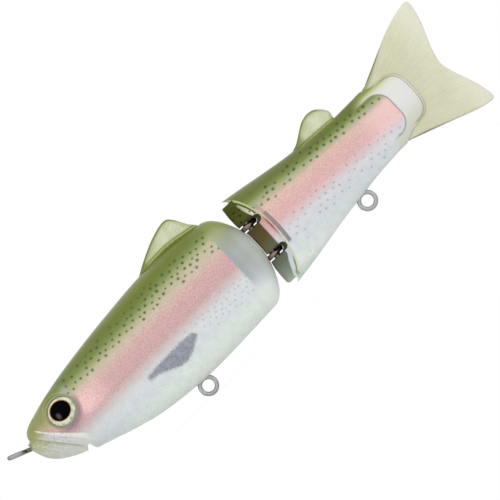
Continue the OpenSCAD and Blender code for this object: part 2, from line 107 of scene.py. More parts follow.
# %% A smooth curve through stations
def curve(stations):
    """A smooth function through (x, value) stations."""
    xs, ys = np.array(stations, float).T
    slope = np.empty(len(xs))
    slope[1:-1] = (ys[2:] - ys[:-2]) / (xs[2:] - xs[:-2])
    slope[0] = (ys[1] - ys[0]) / (xs[1] - xs[0])
    slope[-1] = (ys[-1] - ys[-2]) / (xs[-1] - xs[-2])

    def value(x):
        x = np.asarray(x, float)
        i = np.clip(np.searchsorted(xs, x, side="right") - 1, 0, len(xs) - 2)
        h = xs[i + 1] - xs[i]
        t = (x - xs[i]) / h
        return ((2 * t**3 - 3 * t**2 + 1) * ys[i] + (t**3 - 2 * t**2 + t) * h * slope[i]
                + (3 * t**2 - 2 * t**3) * ys[i + 1] + (t**3 - t**2) * h * slope[i + 1])

    return value


def ease(a, b, x):
    t = np.clip((np.asarray(x, float) - a) / (b - a), 0, 1)
    return t * t * (3 - 2 * t)


# %% [markdown]
# ## The front body's lines
# The front body is widest behind the gills, and its last 8 mm taper to an upright wedge that faces the
# hinge. A fish is often sculpted or subdivided from a coarse cage. Here it has to keep to the half shells
# underneath, so it is drawn by sections. The stations are shares of the length, back, belly and width.

# %% Front body
ROUNDNESS = 0.9
WAIST = 0.52
WEDGE_LEN = 8.4
WEDGE_T = 3.4
CREASE_X = FRONT_LEN - WEDGE_LEN
WEDGE_REACH = WEDGE_LEN / math.sin(math.radians(80))

front_back = curve([(0, 0.224), (0.015, 0.363), (0.048, 0.468), (0.095, 0.542), (0.167, 0.634),
                    (0.262, 0.726), (0.405, 0.832), (0.548, 0.916), (0.69, 0.984), (0.81, 1),
                    (0.905, 0.984), (1, 0.937)])
front_belly = curve([(0, -0.11), (0.012, 0.01), (0.024, 0.125), (0.048, 0.256), (0.095, 0.398),
                     (0.143, 0.5), (0.19, 0.591), (0.286, 0.73), (0.405, 0.886), (0.524, 0.966),
                     (0.643, 1), (0.762, 0.989), (1, 0.92)])
front_width = curve([(0, 0.2), (0.024, 0.33), (0.048, 0.42), (0.095, 0.57), (0.167, 0.715),
                     (0.262, 0.83), (0.405, 0.94), (0.571, 1), (0.714, 1), (0.857, 0.966), (1, 0.905)])


def front_lines(x):
    """Half width, top, bottom and waist of the front body at x."""
    x = np.asarray(x, float)
    s = np.minimum(x / CREASE_X, 1)
    down = np.clip((x - CREASE_X) / WEDGE_REACH, 0, 1)
    top, bottom = BACK_H * front_back(s), -BELLY_H * front_belly(s)
    mid = bottom * (1 - WAIST) + top * WAIST
    close = np.sqrt(1 - down**2)
    taper = down * WEDGE_REACH / WEDGE_LEN
    half = FRONT_W / 2 * front_width(s) * (1 - taper) + WEDGE_T / 2 * taper
    return half, mid + (top - mid) * close, mid + (bottom - mid) * close, mid


def section(x, lines, power, n):
    """Closed rings of n points at each x, from the keel up the right flank and down the left."""
    half, top, bottom, mid = (np.asarray(v)[:, None] for v in lines)
    power = np.broadcast_to(np.asarray(power, float), x.shape)[:, None]
    angle = np.linspace(-np.pi / 2, 3 * np.pi / 2, n, endpoint=False)[None, :]
    s, c = np.sin(angle), np.cos(angle)
    y = half * np.sign(c) * np.abs(c) ** power
    z = mid + np.where(s < 0, mid - bottom, top - mid) * np.sign(s) * np.abs(s) ** power
    return np.stack([np.broadcast_to(x[:, None], y.shape), y, z], axis=2)


def front_skin_y(x, z):
    """Half width of the front body at a point of its side view."""
    half, top, bottom, mid = front_lines(x)
    t = np.clip(np.abs(z - mid) / np.where(z < mid, mid - bottom, top - mid), 0, 1)
    return half * (1 - t ** (2 / ROUNDNESS)) ** (ROUNDNESS / 2)


print("half width at the gills", round(float(front_skin_y(45.0, 0.0)), 2))

# %% [markdown]
# ## The rear body's lines
# The rear body falls away to two thin cheeks that clamp the soft tail. The hollow of the joint could be
# built into its sections, but they would have to fold back on themselves. It is easier to start the skin
# ahead of the pin as if it were solid and to cut the joint out of it afterwards.

# %% Rear body
RIM_TIP_X = PIVOT_X - 1.9
RIM_WAIST_X = PIVOT_X + 5.3
TONGUE_R = 2.5
CHEEK_W = 4.8
CHEEK_X = REAR_END - 8
SLOT_X = REAR_END - 12.4

rear_back = curve([(0, 18.1), (0.12, 17.2), (0.27, 15.9), (0.42, 14.7), (0.6, 13.7), (0.78, 13.1),
                   (0.93, 13.25), (1, 13.3), (1.06, 12.3), (1.12, 11.9)])
rear_belly = curve([(0, 15.8), (0.12, 14.8), (0.27, 13.3), (0.42, 11.7), (0.6, 10.1), (0.78, 8.7),
                    (0.93, 8), (1, 7.8), (1.06, 6.5), (1.12, 5.6)])
rear_width = curve([(0, 1), (0.13, 0.99), (0.25, 0.93), (0.4, 0.79), (0.55, 0.65), (0.7, 0.51),
                    (0.84, 0.38), (0.95, 0.27)])


def rear_lines(x, inset=0.0):
    """Half width, top, bottom and waist of the rear body at x, or of a form inside it."""
    x = np.asarray(x, float)
    s = (x - RIM_TIP_X) / (SLOT_X - RIM_TIP_X)
    end = np.clip((x - CHEEK_X) / (REAR_END - CHEEK_X), 0, 1)
    close = (1 - (0.985 * end) ** 3.2) ** (1 / 3.2)
    top, bottom = rear_back(np.minimum(s, 1.12)), -rear_belly(np.minimum(s, 1.12))
    mid = bottom * (1 - WAIST) + top * WAIST
    thin = ease(0.86, 1.02, s)
    half = REAR_W / 2 * rear_width(np.minimum(s, 0.95)) * (1 - thin) + CHEEK_W / 2 * thin
    half = half * (1 - 0.35 * end**6)
    return (half - inset, mid + (top - mid) * close - inset, mid + (bottom - mid) * close + inset, mid)


def rear_power(x):
    s = (np.asarray(x, float) - RIM_TIP_X) / (SLOT_X - RIM_TIP_X)
    return ROUNDNESS - 0.4 * ease(0.86, 1.05, s)


# %% [markdown]
# ## Making meshes
# Skins, cutters and fins are all grids of points, so one helper turns rings into a closed mesh. Cut edges
# could be modelled face by face. Blender's manifold Boolean does it without stray faces, and it keeps the
# cutter's material on the cut faces. That is how the inside of the joint gets a finish of its own.


# %% Meshes from rings, and Booleans
def mesh_piece(name, points, faces, *materials):
    """A mesh object from points in the lure's own millimetres."""
    mesh = bpy.data.meshes.new(name)
    mesh.from_pydata(place(points).tolist(), [], faces)
    for material in materials:
        mesh.materials.append(material)
    mesh.validate()
    piece = bpy.data.objects.new(name, mesh)
    bpy.context.collection.objects.link(piece)
    return piece


def ring_faces(rows, n):
    """Faces of a closed solid through rows of n points, with both ends capped."""
    faces = [(i * n + j, (i + 1) * n + j, (i + 1) * n + (j + 1) % n, i * n + (j + 1) % n)
             for i in range(rows - 1) for j in range(n)]
    return faces + [tuple(range(n)), tuple(reversed(range((rows - 1) * n, rows * n)))]


def outward(piece):
    form = bmesh.new()
    form.from_mesh(piece.data)
    bmesh.ops.recalc_face_normals(form, faces=form.faces)
    form.to_mesh(piece.data)
    form.free()
    return piece


def loft(name, rings, *materials):
    rows, n = rings.shape[:2]
    return outward(mesh_piece(name, rings.reshape(-1, 3), ring_faces(rows, n), *materials))


def prism(name, outline, axis, low, high, *materials):
    """A straight solid: an outline in the other two axes, drawn along axis 0, 1 or 2."""
    rings = np.empty((2, len(outline), 3))
    rest = [a for a in range(3) if a != axis]
    for i, level in enumerate((low, high)):
        rings[i][:, axis] = level
        rings[i][:, rest] = outline
    return loft(name, rings, *materials)


def combine(piece, other, operation):
    """Joins another solid to a piece or cuts it out, and drops the other."""
    change = piece.modifiers.new("change", "BOOLEAN")
    change.operation, change.solver, change.object = operation, "MANIFOLD", other
    change.material_mode = "TRANSFER"
    graph = bpy.context.evaluated_depsgraph_get()
    mesh = bpy.data.meshes.new_from_object(piece.evaluated_get(graph))
    piece.modifiers.clear()
    piece.data = mesh
    bpy.data.objects.remove(other, do_unlink=True)
    return piece


def smooth(piece, angle=32):
    """Soft shading everywhere but over real edges."""
    piece.data.shade_smooth()
    piece.data.set_sharp_from_angle(angle=math.radians(angle))
    return piece


# %% [markdown]
# ## Paint in code
# Every finish here is worked out from where a point lies on the lure, because the real paint is sprayed in
# bands along it. An image wrapped round it would need seams and would blur. A small class lets a shader
# socket take part in a Python expression, so a mask reads like a formula, and one method makes any other
# node, for the paint as well as for the floor and the world.


# %% Sockets in expressions
def rgb(r, g, b):
    """A colour written as screen values from 0 to 255, in Blender's linear light."""
    linear = [((c / 255 + 0.055) / 1.055) ** 2.4 if c > 10 else c / 255 / 12.92 for c in (r, g, b)]
    return (*linear, 1.0)


class Value:
    """A shader socket that takes part in Python expressions."""

    def __init__(self, tree, socket):
        self.tree, self.socket = tree, socket

    def output(self, n):
        """Another output of the same node."""
        return Value(self.tree, [s for s in self.socket.node.outputs if s.enabled][n])

    def math(self, operation, *values):
        return self.tree.node("Math", {"operation": operation}, *values)

    def __add__(self, other):
        return self.math("ADD", self, other)

    __radd__ = __add__

    def __sub__(self, other):
        return self.math("SUBTRACT", self, other)

    def __rsub__(self, other):
        return self.math("SUBTRACT", other, self)

    def __mul__(self, other):
        return self.math("MULTIPLY", self, other)

    __rmul__ = __mul__

    def __truediv__(self, other):
        return self.math("DIVIDE", self, other)

    def __abs__(self):
        return self.math("ABSOLUTE", self)

    def root(self):
        return self.math("SQRT", self)

    def power(self, n):
        return self.math("POWER", self, n)

    def most(self, other):
        return self.math("MAXIMUM", self, other)

    def rise(self, low, high):
        """0 below low, 1 above high and smooth between."""
        return self.tree.node("MapRange", {"interpolation_type": "SMOOTHSTEP"}, self, low, high, 0, 1)

    def fall(self, low, high):
        return 1 - self.rise(low, high)

    def band(self, low, high, soft):
        """1 between low and high, with soft edges."""
        return self.rise(low - soft, low + soft) * self.fall(high - soft, high + soft)

    def blend(self, a, b):
        """Colour a where this is 0 and colour b where it is 1."""
        return self.tree.node("Mix", {"data_type": "RGBA"}, self, a, b)

    def ramp(self, *stops):
        """A colour by this value: (value, colour) stops in rising order."""
        low, high = stops[0][0], stops[-1][0]
        placed = [((value - low) / (high - low), colour) for value, colour in stops]
        return self.tree.node("ValToRGB", {"stops": placed}, (self - low) / (high - low))

    def height(self, *stops):
        """A number by this value: (value, number) stops, with no number below -20."""
        grey = self.ramp(*((v, (*[(n + 20) / 40] * 3, 1)) for v, n in stops))
        return self.tree.node("SeparateColor", {}, grey) * 40 - 20


def distance(across, up):
    """How far a point lies from a centre, from its two offsets."""
    return (across * across + up * up).root()


def set_stops(elements, stops):
    """Gives a colour ramp its (at, colour) stops."""
    while len(elements) < len(stops):
        elements.new(0.5)
    for element, (at, colour) in zip(elements, stops):
        element.position, element.color = at, colour


class Tree:
    """The nodes of a material or of the world, in the making."""

    def __init__(self, owner):
        owner.use_nodes = True
        self.nodes, self.links = owner.node_tree.nodes, owner.node_tree.links

    def node(self, kind, settings, *values, out=0):
        """Any node: its kind, its settings, then the values or links of its sockets in order."""
        made = self.nodes.new("ShaderNode" + kind)
        for word, setting in settings.items():
            if word == "stops":
                set_stops(made.color_ramp.elements, setting)
            else:
                setattr(made, word, setting)
        for socket, value in zip([s for s in made.inputs if s.enabled], values):
            if isinstance(value, Value):
                self.links.new(value.socket, socket)
            else:
                socket.default_value = value
        return Value(self, [s for s in made.outputs if s.enabled][out])


class Paint(Tree):
    """A finish in the making."""

    def __init__(self, name, roughness, **constants):
        self.material = bpy.data.materials.new(name)
        super().__init__(self.material)
        self.surface = self.nodes["Principled BSDF"]
        self.surface.inputs["Roughness"].default_value = roughness
        for word, number in constants.items():
            self.surface.inputs[word.replace("_", " ")].default_value = number

    def set(self, word, value):
        self.links.new(value.socket, self.surface.inputs[word])

    def where(self):
        """x, y and z of the point in the lure's own millimetres."""
        point = self.node("TexCoord", {}, out=3)
        moved = self.node("VectorMath", {"operation": "SUBTRACT"}, point, tuple(lip))
        x = self.node("SeparateXYZ", {}, moved)
        return [x.output(n) / MM for n in range(3)]

    def vector(self, x, y, z=0.0):
        return self.node("CombineXYZ", {}, x, y, z)

    def noise(self, vector, scale, detail=2.0):
        return self.node("TexNoise", {}, vector, scale, detail)

    def spots(self, x, z, spacing, size, share):
        """Soft spots on a loose net of slanting rows. share(x, z) is the part kept round each place."""
        row, lean = spacing * 0.86, 0.22
        across, up = x / spacing + z / row * 0.5, (z + x * lean) / row
        net = self.node("TexVoronoi", {"voronoi_dimensions": "2D"}, self.vector(across, up),
                        1.0, 0.0, 0.5, 2.0, 0.4)
        luck = self.node("SeparateColor", {}, net.output(1))
        spot = self.node("SeparateXYZ", {}, net.output(2))
        spot_x = (spot - spot.output(1) * 0.5) * (spacing / (1 - 0.5 * spacing * lean / row))
        spot_z = spot.output(1) * row - spot_x * lean
        dx, dz = x - spot_x, (z - spot_z) * 1.15
        ragged = (self.noise(self.vector(x, z), 1.6) - 0.5) * 0.36
        radius = size * (0.8 + 0.4 * luck.output(1)) + ragged
        return (radius - distance(dx, dz)).rise(-0.22, 0.4) * (share(spot_x, spot_z) - luck).rise(-0.01, 0.01)

    def grain(self, x, z, colour, amount):
        """Fine metallic grain and a faint cloud in a colour."""
        fine, cloud = self.noise(self.vector(x, z), 2.0), self.noise(self.vector(x + 50, z), 0.45, 3.0)
        return self.shaded(colour, (fine - 0.5) * amount + (cloud - 0.5) * 0.22 + 1)

    def shaded(self, colour, light):
        """A colour made darker or lighter by a factor."""
        return self.node("VectorMath", {"operation": "MULTIPLY"}, colour, self.vector(light, light, light))


# %% [markdown]
# ## The front body's paint
# The real pattern is sprayed in long bands: olive back, cream, a pink stripe with fine sparkle, silver, and a
# pale green keel. Dark spots sit in loose rows above the stripe. The bands climb a little towards the back
# fin, so the level that picks a colour leans with them. The printed film ends on a straight upright line,
# and the clear wedge behind it looks grey over the hollow joint.


# %% Front paint
JAW = math.radians(40)
EYE = Vector((15.0, 0, 5.5))


def front_rows(x, z):
    top = x.height((20, 11.2), (38, 13.8), (60, 15.2), (84, 15))
    low = x.height((20, 7.6), (40, 8.1), (60, 8.6), (84, 8))
    return (z - low).rise(-0.3, 0.3) * (top - z).rise(-0.8, 0.8) * x.rise(19.5, 20.5) * 0.92


def front_freckles(x, z):
    return z.band(-8.5, -2, 0.8) * x.rise(52, 70)


def make_front_paint():
    paint = Paint("front_paint", 0.35, Coat_Weight=0.12, Coat_Roughness=0.15, Specular_IOR_Level=0.3)
    x, y, z = paint.where()
    low = x.height((15, -0.6), (30, 0), (60, 1.2), (84, 1.8))
    high = x.height((15, -0.6), (30, 0), (50, 0.9), (72, 3), (84, 3.7))
    level = z - low - (high - low) * z.rise(8, 12)
    colour = level.ramp(
        (-18, rgb(236, 244, 236)), (-13, rgb(228, 238, 231)), (-10, rgb(218, 225, 228)),
        (-6.5, rgb(218, 222, 225)), (-5, rgb(216, 217, 217)), (-3.8, rgb(210, 203, 202)),
        (-2.5, rgb(208, 189, 188)), (-1, rgb(204, 167, 168)), (1, rgb(208, 168, 169)),
        (3.5, rgb(208, 169, 166)), (5.5, rgb(208, 178, 168)), (6.8, rgb(199, 187, 165)),
        (8, rgb(185, 182, 146)), (9, rgb(169, 170, 122)), (9.8, rgb(148, 158, 104)),
        (11, rgb(119, 135, 71)), (12.5, rgb(107, 121, 47)), (14, rgb(104, 116, 33)),
        (17, rgb(118, 128, 66)))
    pink = level.band(-2.5, 6.5, 1.2)
    dots = paint.spots(x, z, 2.05, 0.5, front_rows) * level.height((7, 0.8), (9, 0.95), (12, 0.7), (15, 0.3))
    colour = dots.blend(colour, level.ramp((8, rgb(66, 66, 58)), (11, rgb(46, 60, 30))))
    colour = (paint.spots(x, z, 1.9, 0.36, front_freckles) * 0.5).blend(colour, rgb(150, 156, 168))
    colour = pectoral_fin(paint, x, z, colour)
    colour = paint.grain(x, z, head(paint, x, z, colour), 0.28 + 0.6 * pink)
    soft = z.rise(11.5, 14.5) * 2.2 + z.fall(-12, -7) * 2.2 + 0.15
    film_end = ((x - CREASE_X) / soft).rise(-1, 1)
    facet = z.ramp((-15, rgb(240, 247, 238)), (-10, rgb(238, 244, 241)), (-5, rgb(203, 209, 214)),
                   (0, rgb(184, 192, 187)), (4, rgb(190, 198, 195)), (8, rgb(176, 184, 168)),
                   (12, rgb(172, 180, 134)), (15, rgb(138, 149, 75)), (18, rgb(122, 132, 70)))
    # Painted shade on the wedge next to the crease, and a painted highlight towards its back edge.
    facet = (x.fall(84.8, 87) * z.band(-6, 8, 3) * 0.4).blend(facet, rgb(158, 164, 172))
    facet = (x.rise(87.5, 91) * z.band(-9, 9, 3) * 0.5).blend(facet, rgb(226, 232, 222))
    paint.set("Base Color", film_end.blend(colour, facet))
    return paint.material


def pectoral_fin(paint, x, z, colour):
    """The grey leaf of the side fin, sprayed on through a mask with soft edges."""
    top = x.height((41, -5.2), (45, -4.6), (55, -4.2), (60, -4.5), (61.6, -5.8))
    low = x.height((41, -6.6), (44, -6.9), (47, -8), (51, -9.7), (54, -10), (57, -8.8), (60, -6.9),
                   (61.6, -5.8))
    dust = (paint.noise(paint.vector(x, z), 1.9) - 0.5) * 2.2
    leaf = (z - low + dust).rise(-0.6, 0.7) * (top - z + dust).rise(-0.6, 0.6) * x.band(41.2, 61.2, 0.8)
    streak = paint.noise(paint.vector(x * 0.8, z * 2 - x * 0.4), 1.0, 3.0)
    grey = streak.ramp((0.3, rgb(122, 126, 142)), (0.7, rgb(158, 160, 170)))
    return (leaf * 0.92).blend(colour, grey)


def head(paint, x, z, colour):
    """The jaw plates, with painted highlights on the raised jaw edge and behind the eye, and painted shade
    round it.
    """
    along = x * math.cos(JAW) + z * math.sin(JAW)
    snout = z.ramp((2, rgb(190, 170, 142)), (5, rgb(184, 170, 132)), (7, rgb(150, 150, 96)),
                   (9, rgb(138, 146, 86)), (12, rgb(126, 137, 72)))
    colour = (x.fall(9, 13.5) * (z - 2).rise(0, 3)).blend(colour, snout)
    upper = z.ramp((-7, rgb(214, 217, 211)), (-3, rgb(204, 203, 200)), (0, rgb(200, 199, 199)),
                   (3, rgb(200, 197, 192)), (4.5, rgb(172, 168, 128)), (6, rgb(154, 156, 94)),
                   (8, rgb(140, 146, 82)))
    lower = z.ramp((-9, rgb(222, 226, 216)), (-5, rgb(208, 211, 200)), (-2, rgb(198, 201, 186)),
                   (1, rgb(190, 194, 168)), (3, rgb(184, 188, 152)), (5, rgb(158, 162, 104)))
    bulge = (x - 7.5).most(0) * 0.155
    face = (along - bulge).fall(7.9, 8.2) * x.fall(16, 17.5)
    colour = face.blend(colour, upper)
    colour = (along.fall(5.3, 5.7) * x.fall(13.6, 14.2)).blend(colour, lower)
    cloud = paint.noise(paint.vector(along * 0.8, (z - x) * 0.25), 1.0, 3.0)
    colour = (face * cloud.rise(0.5, 0.66) * z.fall(0.5, 3.5) * 0.5).blend(colour, rgb(222, 222, 226))
    speck = paint.noise(paint.vector(along, z - x), 1.3)
    green = speck.rise(0.48, 0.6) * along.fall(5, 5.6) * z.band(0, 4, 1.5)
    colour = (green * 0.5).blend(colour, rgb(150, 156, 92))
    # Painted highlight along the raised edge of the upper jaw.
    edge = along.rise(7.35, 7.85) * (along - bulge).fall(8.0, 8.2) * x.rise(4.6, 5.4) * x.fall(15, 17.5)
    colour = (edge * 0.85).blend(colour, rgb(230, 229, 218))
    mouth = along.band(5.1, 5.6, 0.2) * x.band(2, 12.6, 0.5)
    colour = (mouth * 0.55).blend(colour, rgb(142, 144, 92))
    dx, dz = x - EYE.x, z - EYE.z
    away = distance(dx, dz)
    # Painted highlight on the cheek behind the eye.
    glow = x.rise(18.5, 22) * x.fall(22, 34) * z.rise(-2.5, 0.5) * z.fall(3, 8)
    colour = (glow * 0.8).blend(colour, rgb(248, 204, 202))
    # Painted shade below and behind the eye.
    shade = away.fall(5.5, 7.3) * (dx * 0.6 - dz).rise(-0.5, 5)
    colour = (shade * 0.85).blend(colour, rgb(140, 118, 130))
    pale = distance(x - 19.9, z - 9.4).fall(0, 2.4)
    colour = (pale * 0.45).blend(colour, rgb(178, 180, 186))
    brow = dz.rise(2.8, 4) * 0.4
    colour = (away.band(5.1, 5.3, 0.12) * brow).blend(colour, rgb(92, 102, 50))
    return (away.band(5.45, 5.75, 0.15) * brow).blend(colour, rgb(190, 192, 138))


front_paint = make_front_paint()
print("front paint nodes", len(front_paint.node_tree.nodes))

# %% [markdown]
# ## The rear body's paint
# The bands carry on over the rear body and sink a little towards the tail. The film ends in a round grey
# outline, and the two cheeks behind it are bare, pale plastic, with a painted shadow line and highlight round
# their edge. A grey strip of painted shade follows the rim of the joint, where the hollow shows through the
# clear skin. All of it could be one long list of masks. The tail end has a function of its own, so that each
# can be read.


# %% Rear paint
def rear_rows(x, z):
    top = x.height((98, 12), (115, 12.6), (130, 12), (150, 10.5))
    low = x.height((98, 7.8), (115, 8), (130, 7.6), (150, 6.8))
    return (z - low).rise(-0.3, 0.3) * (top - z).rise(-0.8, 0.8) * 0.92


def rear_freckles(x, z):
    return z.band(-6, 1, 1) * 0.8


def make_rear_paint():
    paint = Paint("rear_paint", 0.35, Coat_Weight=0.12, Coat_Roughness=0.15, Specular_IOR_Level=0.3)
    x, y, z = paint.where()
    low = x.height((95, -0.2), (106, 0), (122, 0.2), (140, 0.7), (150, 0.9))
    high = x.height((95, -0.8), (106, 0), (122, 1.8), (140, 2.5), (150, 2.6))
    level = z + low + (high - low) * z.rise(4, 11)
    colour = level.ramp(
        (-15, rgb(209, 231, 216)), (-12, rgb(241, 244, 240)), (-9, rgb(221, 232, 229)),
        (-5, rgb(213, 218, 223)), (-2, rgb(218, 216, 221)), (-0.5, rgb(217, 202, 205)),
        (0.6, rgb(223, 192, 193)), (1.6, rgb(220, 181, 181)), (3.5, rgb(222, 178, 175)),
        (6.5, rgb(220, 182, 173)), (8, rgb(213, 186, 167)), (9, rgb(190, 177, 152)),
        (10, rgb(174, 174, 137)), (11, rgb(148, 161, 105)), (12, rgb(120, 134, 69)),
        (13.5, rgb(98, 111, 44)), (18, rgb(105, 114, 59)))
    pink = level.band(0.6, 7.8, 0.8)
    colour = paint.grain(x, z, colour, 0.22 + 0.5 * pink)
    colour = (paint.spots(x, z, 2.15, 0.52, rear_rows) * 0.8).blend(colour, rgb(48, 62, 40))
    colour = (paint.spots(x, z, 2.3, 0.4, rear_freckles) * 0.5).blend(colour, rgb(124, 124, 138))
    foot = z + (x - 124) * 0.045
    saddle = x.band(122.5, 136.6, 0.6) * foot.band(12.7, 13.4, 0.12)
    colour = (saddle * 0.5).blend(colour, rgb(124, 124, 56))
    # Painted highlight along the bead at the adipose fin's foot.
    bead = x.band(123.2, 136.2, 0.8) * foot.band(13.42, 13.62, 0.08)
    colour = (bead * 0.8).blend(colour, rgb(196, 202, 136))
    bright = x.rise(136, 148) * z.band(-1, 6.5, 1.5)
    colour = (bright * 0.55).blend(colour, rgb(250, 214, 212))
    # Painted shade: a grey strip behind the rim, where the hollow of the joint shows through the clear skin.
    behind_rim = (x - RIM_TIP_X - abs(y) * 0.706).band(0.4, 1.75, 0.15)
    rim_shade = behind_rim * (z.band(-4.9, 7, 0.3) * 0.5 + z.band(-5, 10.5, 1) * 0.35)
    colour = rim_shade.blend(colour, rgb(126, 120, 118))
    return finish_tail(paint, x, z, colour)


def cheek_reach(x, z):
    """1 on the rounded outline of the cheeks, and less inside it."""
    out = ((x - CHEEK_X) / (REAR_END - CHEEK_X)).most(0)
    up = ((z - 3.5) / 8.4).most((3.5 - z) / 9.1)
    return out.power(3.2) + up.power(3.2)


def finish_tail(paint, x, z, colour):
    """The film's rounded end, its grey outline, the bare cheeks and a painted shadow line and highlight round
    them.
    """
    across = (abs(z - 2.8) - 2.5).most(0)
    along = (x - (SLOT_X - 0.2)).most(0)
    beyond = distance(across, along) - 5
    bare = z.ramp((-8, rgb(206, 209, 196)), (-5, rgb(208, 210, 193)), (-3, rgb(210, 212, 198)),
                  (0, rgb(221, 221, 216)), (3, rgb(226, 225, 225)), (8, rgb(226, 227, 221)),
                  (10, rgb(217, 219, 200)), (11, rgb(196, 200, 150)), (12, rgb(140, 150, 86)),
                  (13.5, rgb(112, 124, 58)))
    behind = x.rise(SLOT_X - 6.5, SLOT_X)
    colour = (beyond.rise(-0.1, 0.2) * behind).blend(colour, bare)
    reach = cheek_reach(x, z)
    # A painted shadow line, then a painted highlight, round the rounded edge of the cheeks.
    colour = (reach.band(0.78, 0.88, 0.03) * x.rise(152, 155) * 0.7).blend(colour, rgb(138, 134, 106))
    colour = (reach.band(0.92, 1.02, 0.02) * x.rise(151, 154) * 0.8).blend(colour, rgb(244, 244, 230))
    outline = beyond.band(-0.35, 0.15, 0.12) * x.rise(SLOT_X - 3, SLOT_X)
    paint.set("Base Color", (outline * 0.7).blend(colour, rgb(136, 142, 140)))
    return paint.material


rear_paint = make_rear_paint()
print("rear paint nodes", len(rear_paint.node_tree.nodes))

# %% [markdown]
# ## Inside the joint
# The facets of the tongue carry the same bands in deep, wet shade, with a bright strip where they turn
# outwards. The rim of the skin is bare plastic, edge on. A recess this small gets little true shade in a
# white room, and what it mirrors outside the picture isn't there, so both are painted as gradations.


# %% Joint finishes
def joint_rows(x, z):
    return z.rise(8.8, 9.4) * 0.95


def make_joint_paint():
    paint = Paint("joint_paint", 0.25, Coat_Weight=0.1, Specular_IOR_Level=0.25)
    x, y, z = paint.where()
    dark = z.ramp((-14, rgb(170, 178, 166)), (-12, rgb(140, 150, 134)), (-8, rgb(104, 114, 96)),
                  (-5, rgb(90, 98, 80)), (-2, rgb(100, 102, 72)), (1, rgb(96, 82, 48)),
                  (4, rgb(90, 72, 34)), (8, rgb(60, 50, 18)), (10, rgb(82, 84, 30)),
                  (14, rgb(66, 76, 18)), (17, rgb(84, 94, 40)))
    bright = z.ramp((-13, rgb(212, 220, 222)), (-6, rgb(214, 220, 230)), (-1.5, rgb(230, 222, 230)),
                    (0, rgb(236, 200, 204)), (3, rgb(234, 184, 186)), (6, rgb(222, 176, 164)),
                    (9, rgb(240, 230, 212)), (12, rgb(196, 200, 166)), (16, rgb(140, 150, 92)))
    start = z.height((-13, 94.8), (-11.8, 95.4), (-10.5, 95.9), (-8.9, 96.7), (-7, 97.9), (5, 98.1),
                     (8.8, 98), (9.8, 97.5), (11.1, 97.05), (12.4, 96.7), (14.1, 96.4))
    end = z.height((-13, 95.7), (-11.8, 96.9), (-10, 97.8), (-8.2, 98.9), (-6.5, 99.8), (-5, 104), (7, 104),
                   (8.6, 98.9), (9.8, 98.8), (11.4, 98.2), (12.7, 97.7), (14, 97.05))
    turn = (x - start).rise(-0.25, 0.3) * (end - x).rise(-0.15, 0.2) * z.fall(13.6, 14.5)
    dots = paint.spots(x, z, 2.3, 0.42, joint_rows)
    paint.set("Base Color", dots.blend(turn.blend(dark, bright), rgb(24, 26, 14)))
    return paint.material


def make_pocket_paint():
    paint = Paint("pocket_paint", 0.3)
    x, y, z = paint.where()
    # Painted shade: dark inside the slots, and lighter at their back ends, near the rim.
    paint.set("Base Color", x.ramp((92, rgb(36, 30, 10)), (98, rgb(66, 60, 26)), (99.4, rgb(116, 122, 74)),
                                   (100.4, rgb(150, 156, 112))))
    return paint.material


def make_rim_paint():
    paint = Paint("rim_plastic", 0.22, Coat_Weight=0.4, Coat_Roughness=0.1)
    x, y, z = paint.where()
    paint.set("Base Color", z.ramp((-16, rgb(222, 230, 196)), (-2, rgb(216, 220, 188)),
                                   (0, rgb(186, 156, 126)), (2, rgb(158, 98, 74)), (4.5, rgb(162, 106, 78)),
                                   (6.5, rgb(204, 204, 154)), (12, rgb(206, 212, 158)),
                                   (16, rgb(198, 206, 144)), (18, rgb(160, 170, 96))))
    return paint.material


joint_paint, pocket_paint, rim_paint = make_joint_paint(), make_pocket_paint(), make_rim_paint()
print("joint finishes", joint_paint.name, pocket_paint.name, rim_paint.name)

# %% [markdown]
# ## The front skin
# The two half shells are moulded and welded, then painted as one. The skin is a single closed surface of fine
# rings, denser at the head, where the mould has its detail: a lower lip that stands ahead of the upper one, a
# sunk jaw plate with a raised edge, a flat seat round the eye, faint gill and throat lines, and the hair line
# where the shells meet. The nose of the wedge is a little fuller at mid height, and it is rounded in plan so
# that it clears the tongue at the end of the hinge's swing.


# %% Front skin
RING = 240
MOUTH_Z = 4.7
EYE_SEAT = 0.3
WEDGE_CROWN = 0.7
HAIR_LINE = 0.1
SNOUT = 1.2
HEAD_END = 24


def above_mouth(x, z):
    """Distance above the mouth line in side view; below it is negative."""
    return np.maximum(z - MOUTH_Z, x * math.cos(JAW) + z * math.sin(JAW) - 5.1)


def gauss(d, width):
    """1 on a line and close to 0 beyond its width."""
    return np.exp(-((d / width) ** 2))


def face_relief(x, z):
    """Depth of the moulded detail in the front skin, in millimetres."""
    up = above_mouth(x, z)
    bulge = 0.155 * np.maximum(x - 7.5, 0)
    plate = 0.3 * ease(0.1, 0.5, up) * (1 - ease(2.3, 2.9, up - bulge))
    plate = plate * ease(2.2, 4, x) * (1 - ease(15, 17, x))
    groove = 0.32 * gauss(up, 0.2) * (1 - ease(13, 14, x))
    edge = -0.16 * gauss(up - bulge - 2.95, 0.22) * ease(4, 5.5, x) * (1 - ease(15.5, 17, x))
    gill = 0.1 * gauss(x - 42 + 0.02 * (z - 6) ** 2, 0.45) * ease(-2, 0, z) * (1 - ease(5, 7, z))
    fold = np.mod(z + 0.33 * (x - 24), 0.95) - 0.475
    throat = 0.1 * gauss(fold, 0.16) * ease(22, 25, x) * (1 - ease(31, 35, x))
    throat = throat * ease(-14.6, -14, z + 0.2 * (x - 28)) * (1 - ease(-11.6, -11, z + 0.25 * (x - 26)))
    away = np.hypot(x - EYE.x, z - EYE.z)
    brow = -0.12 * gauss(away - 5.6, 0.28) * ease(8, 9.2, z)
    return plate + groove + edge + gill + throat + brow


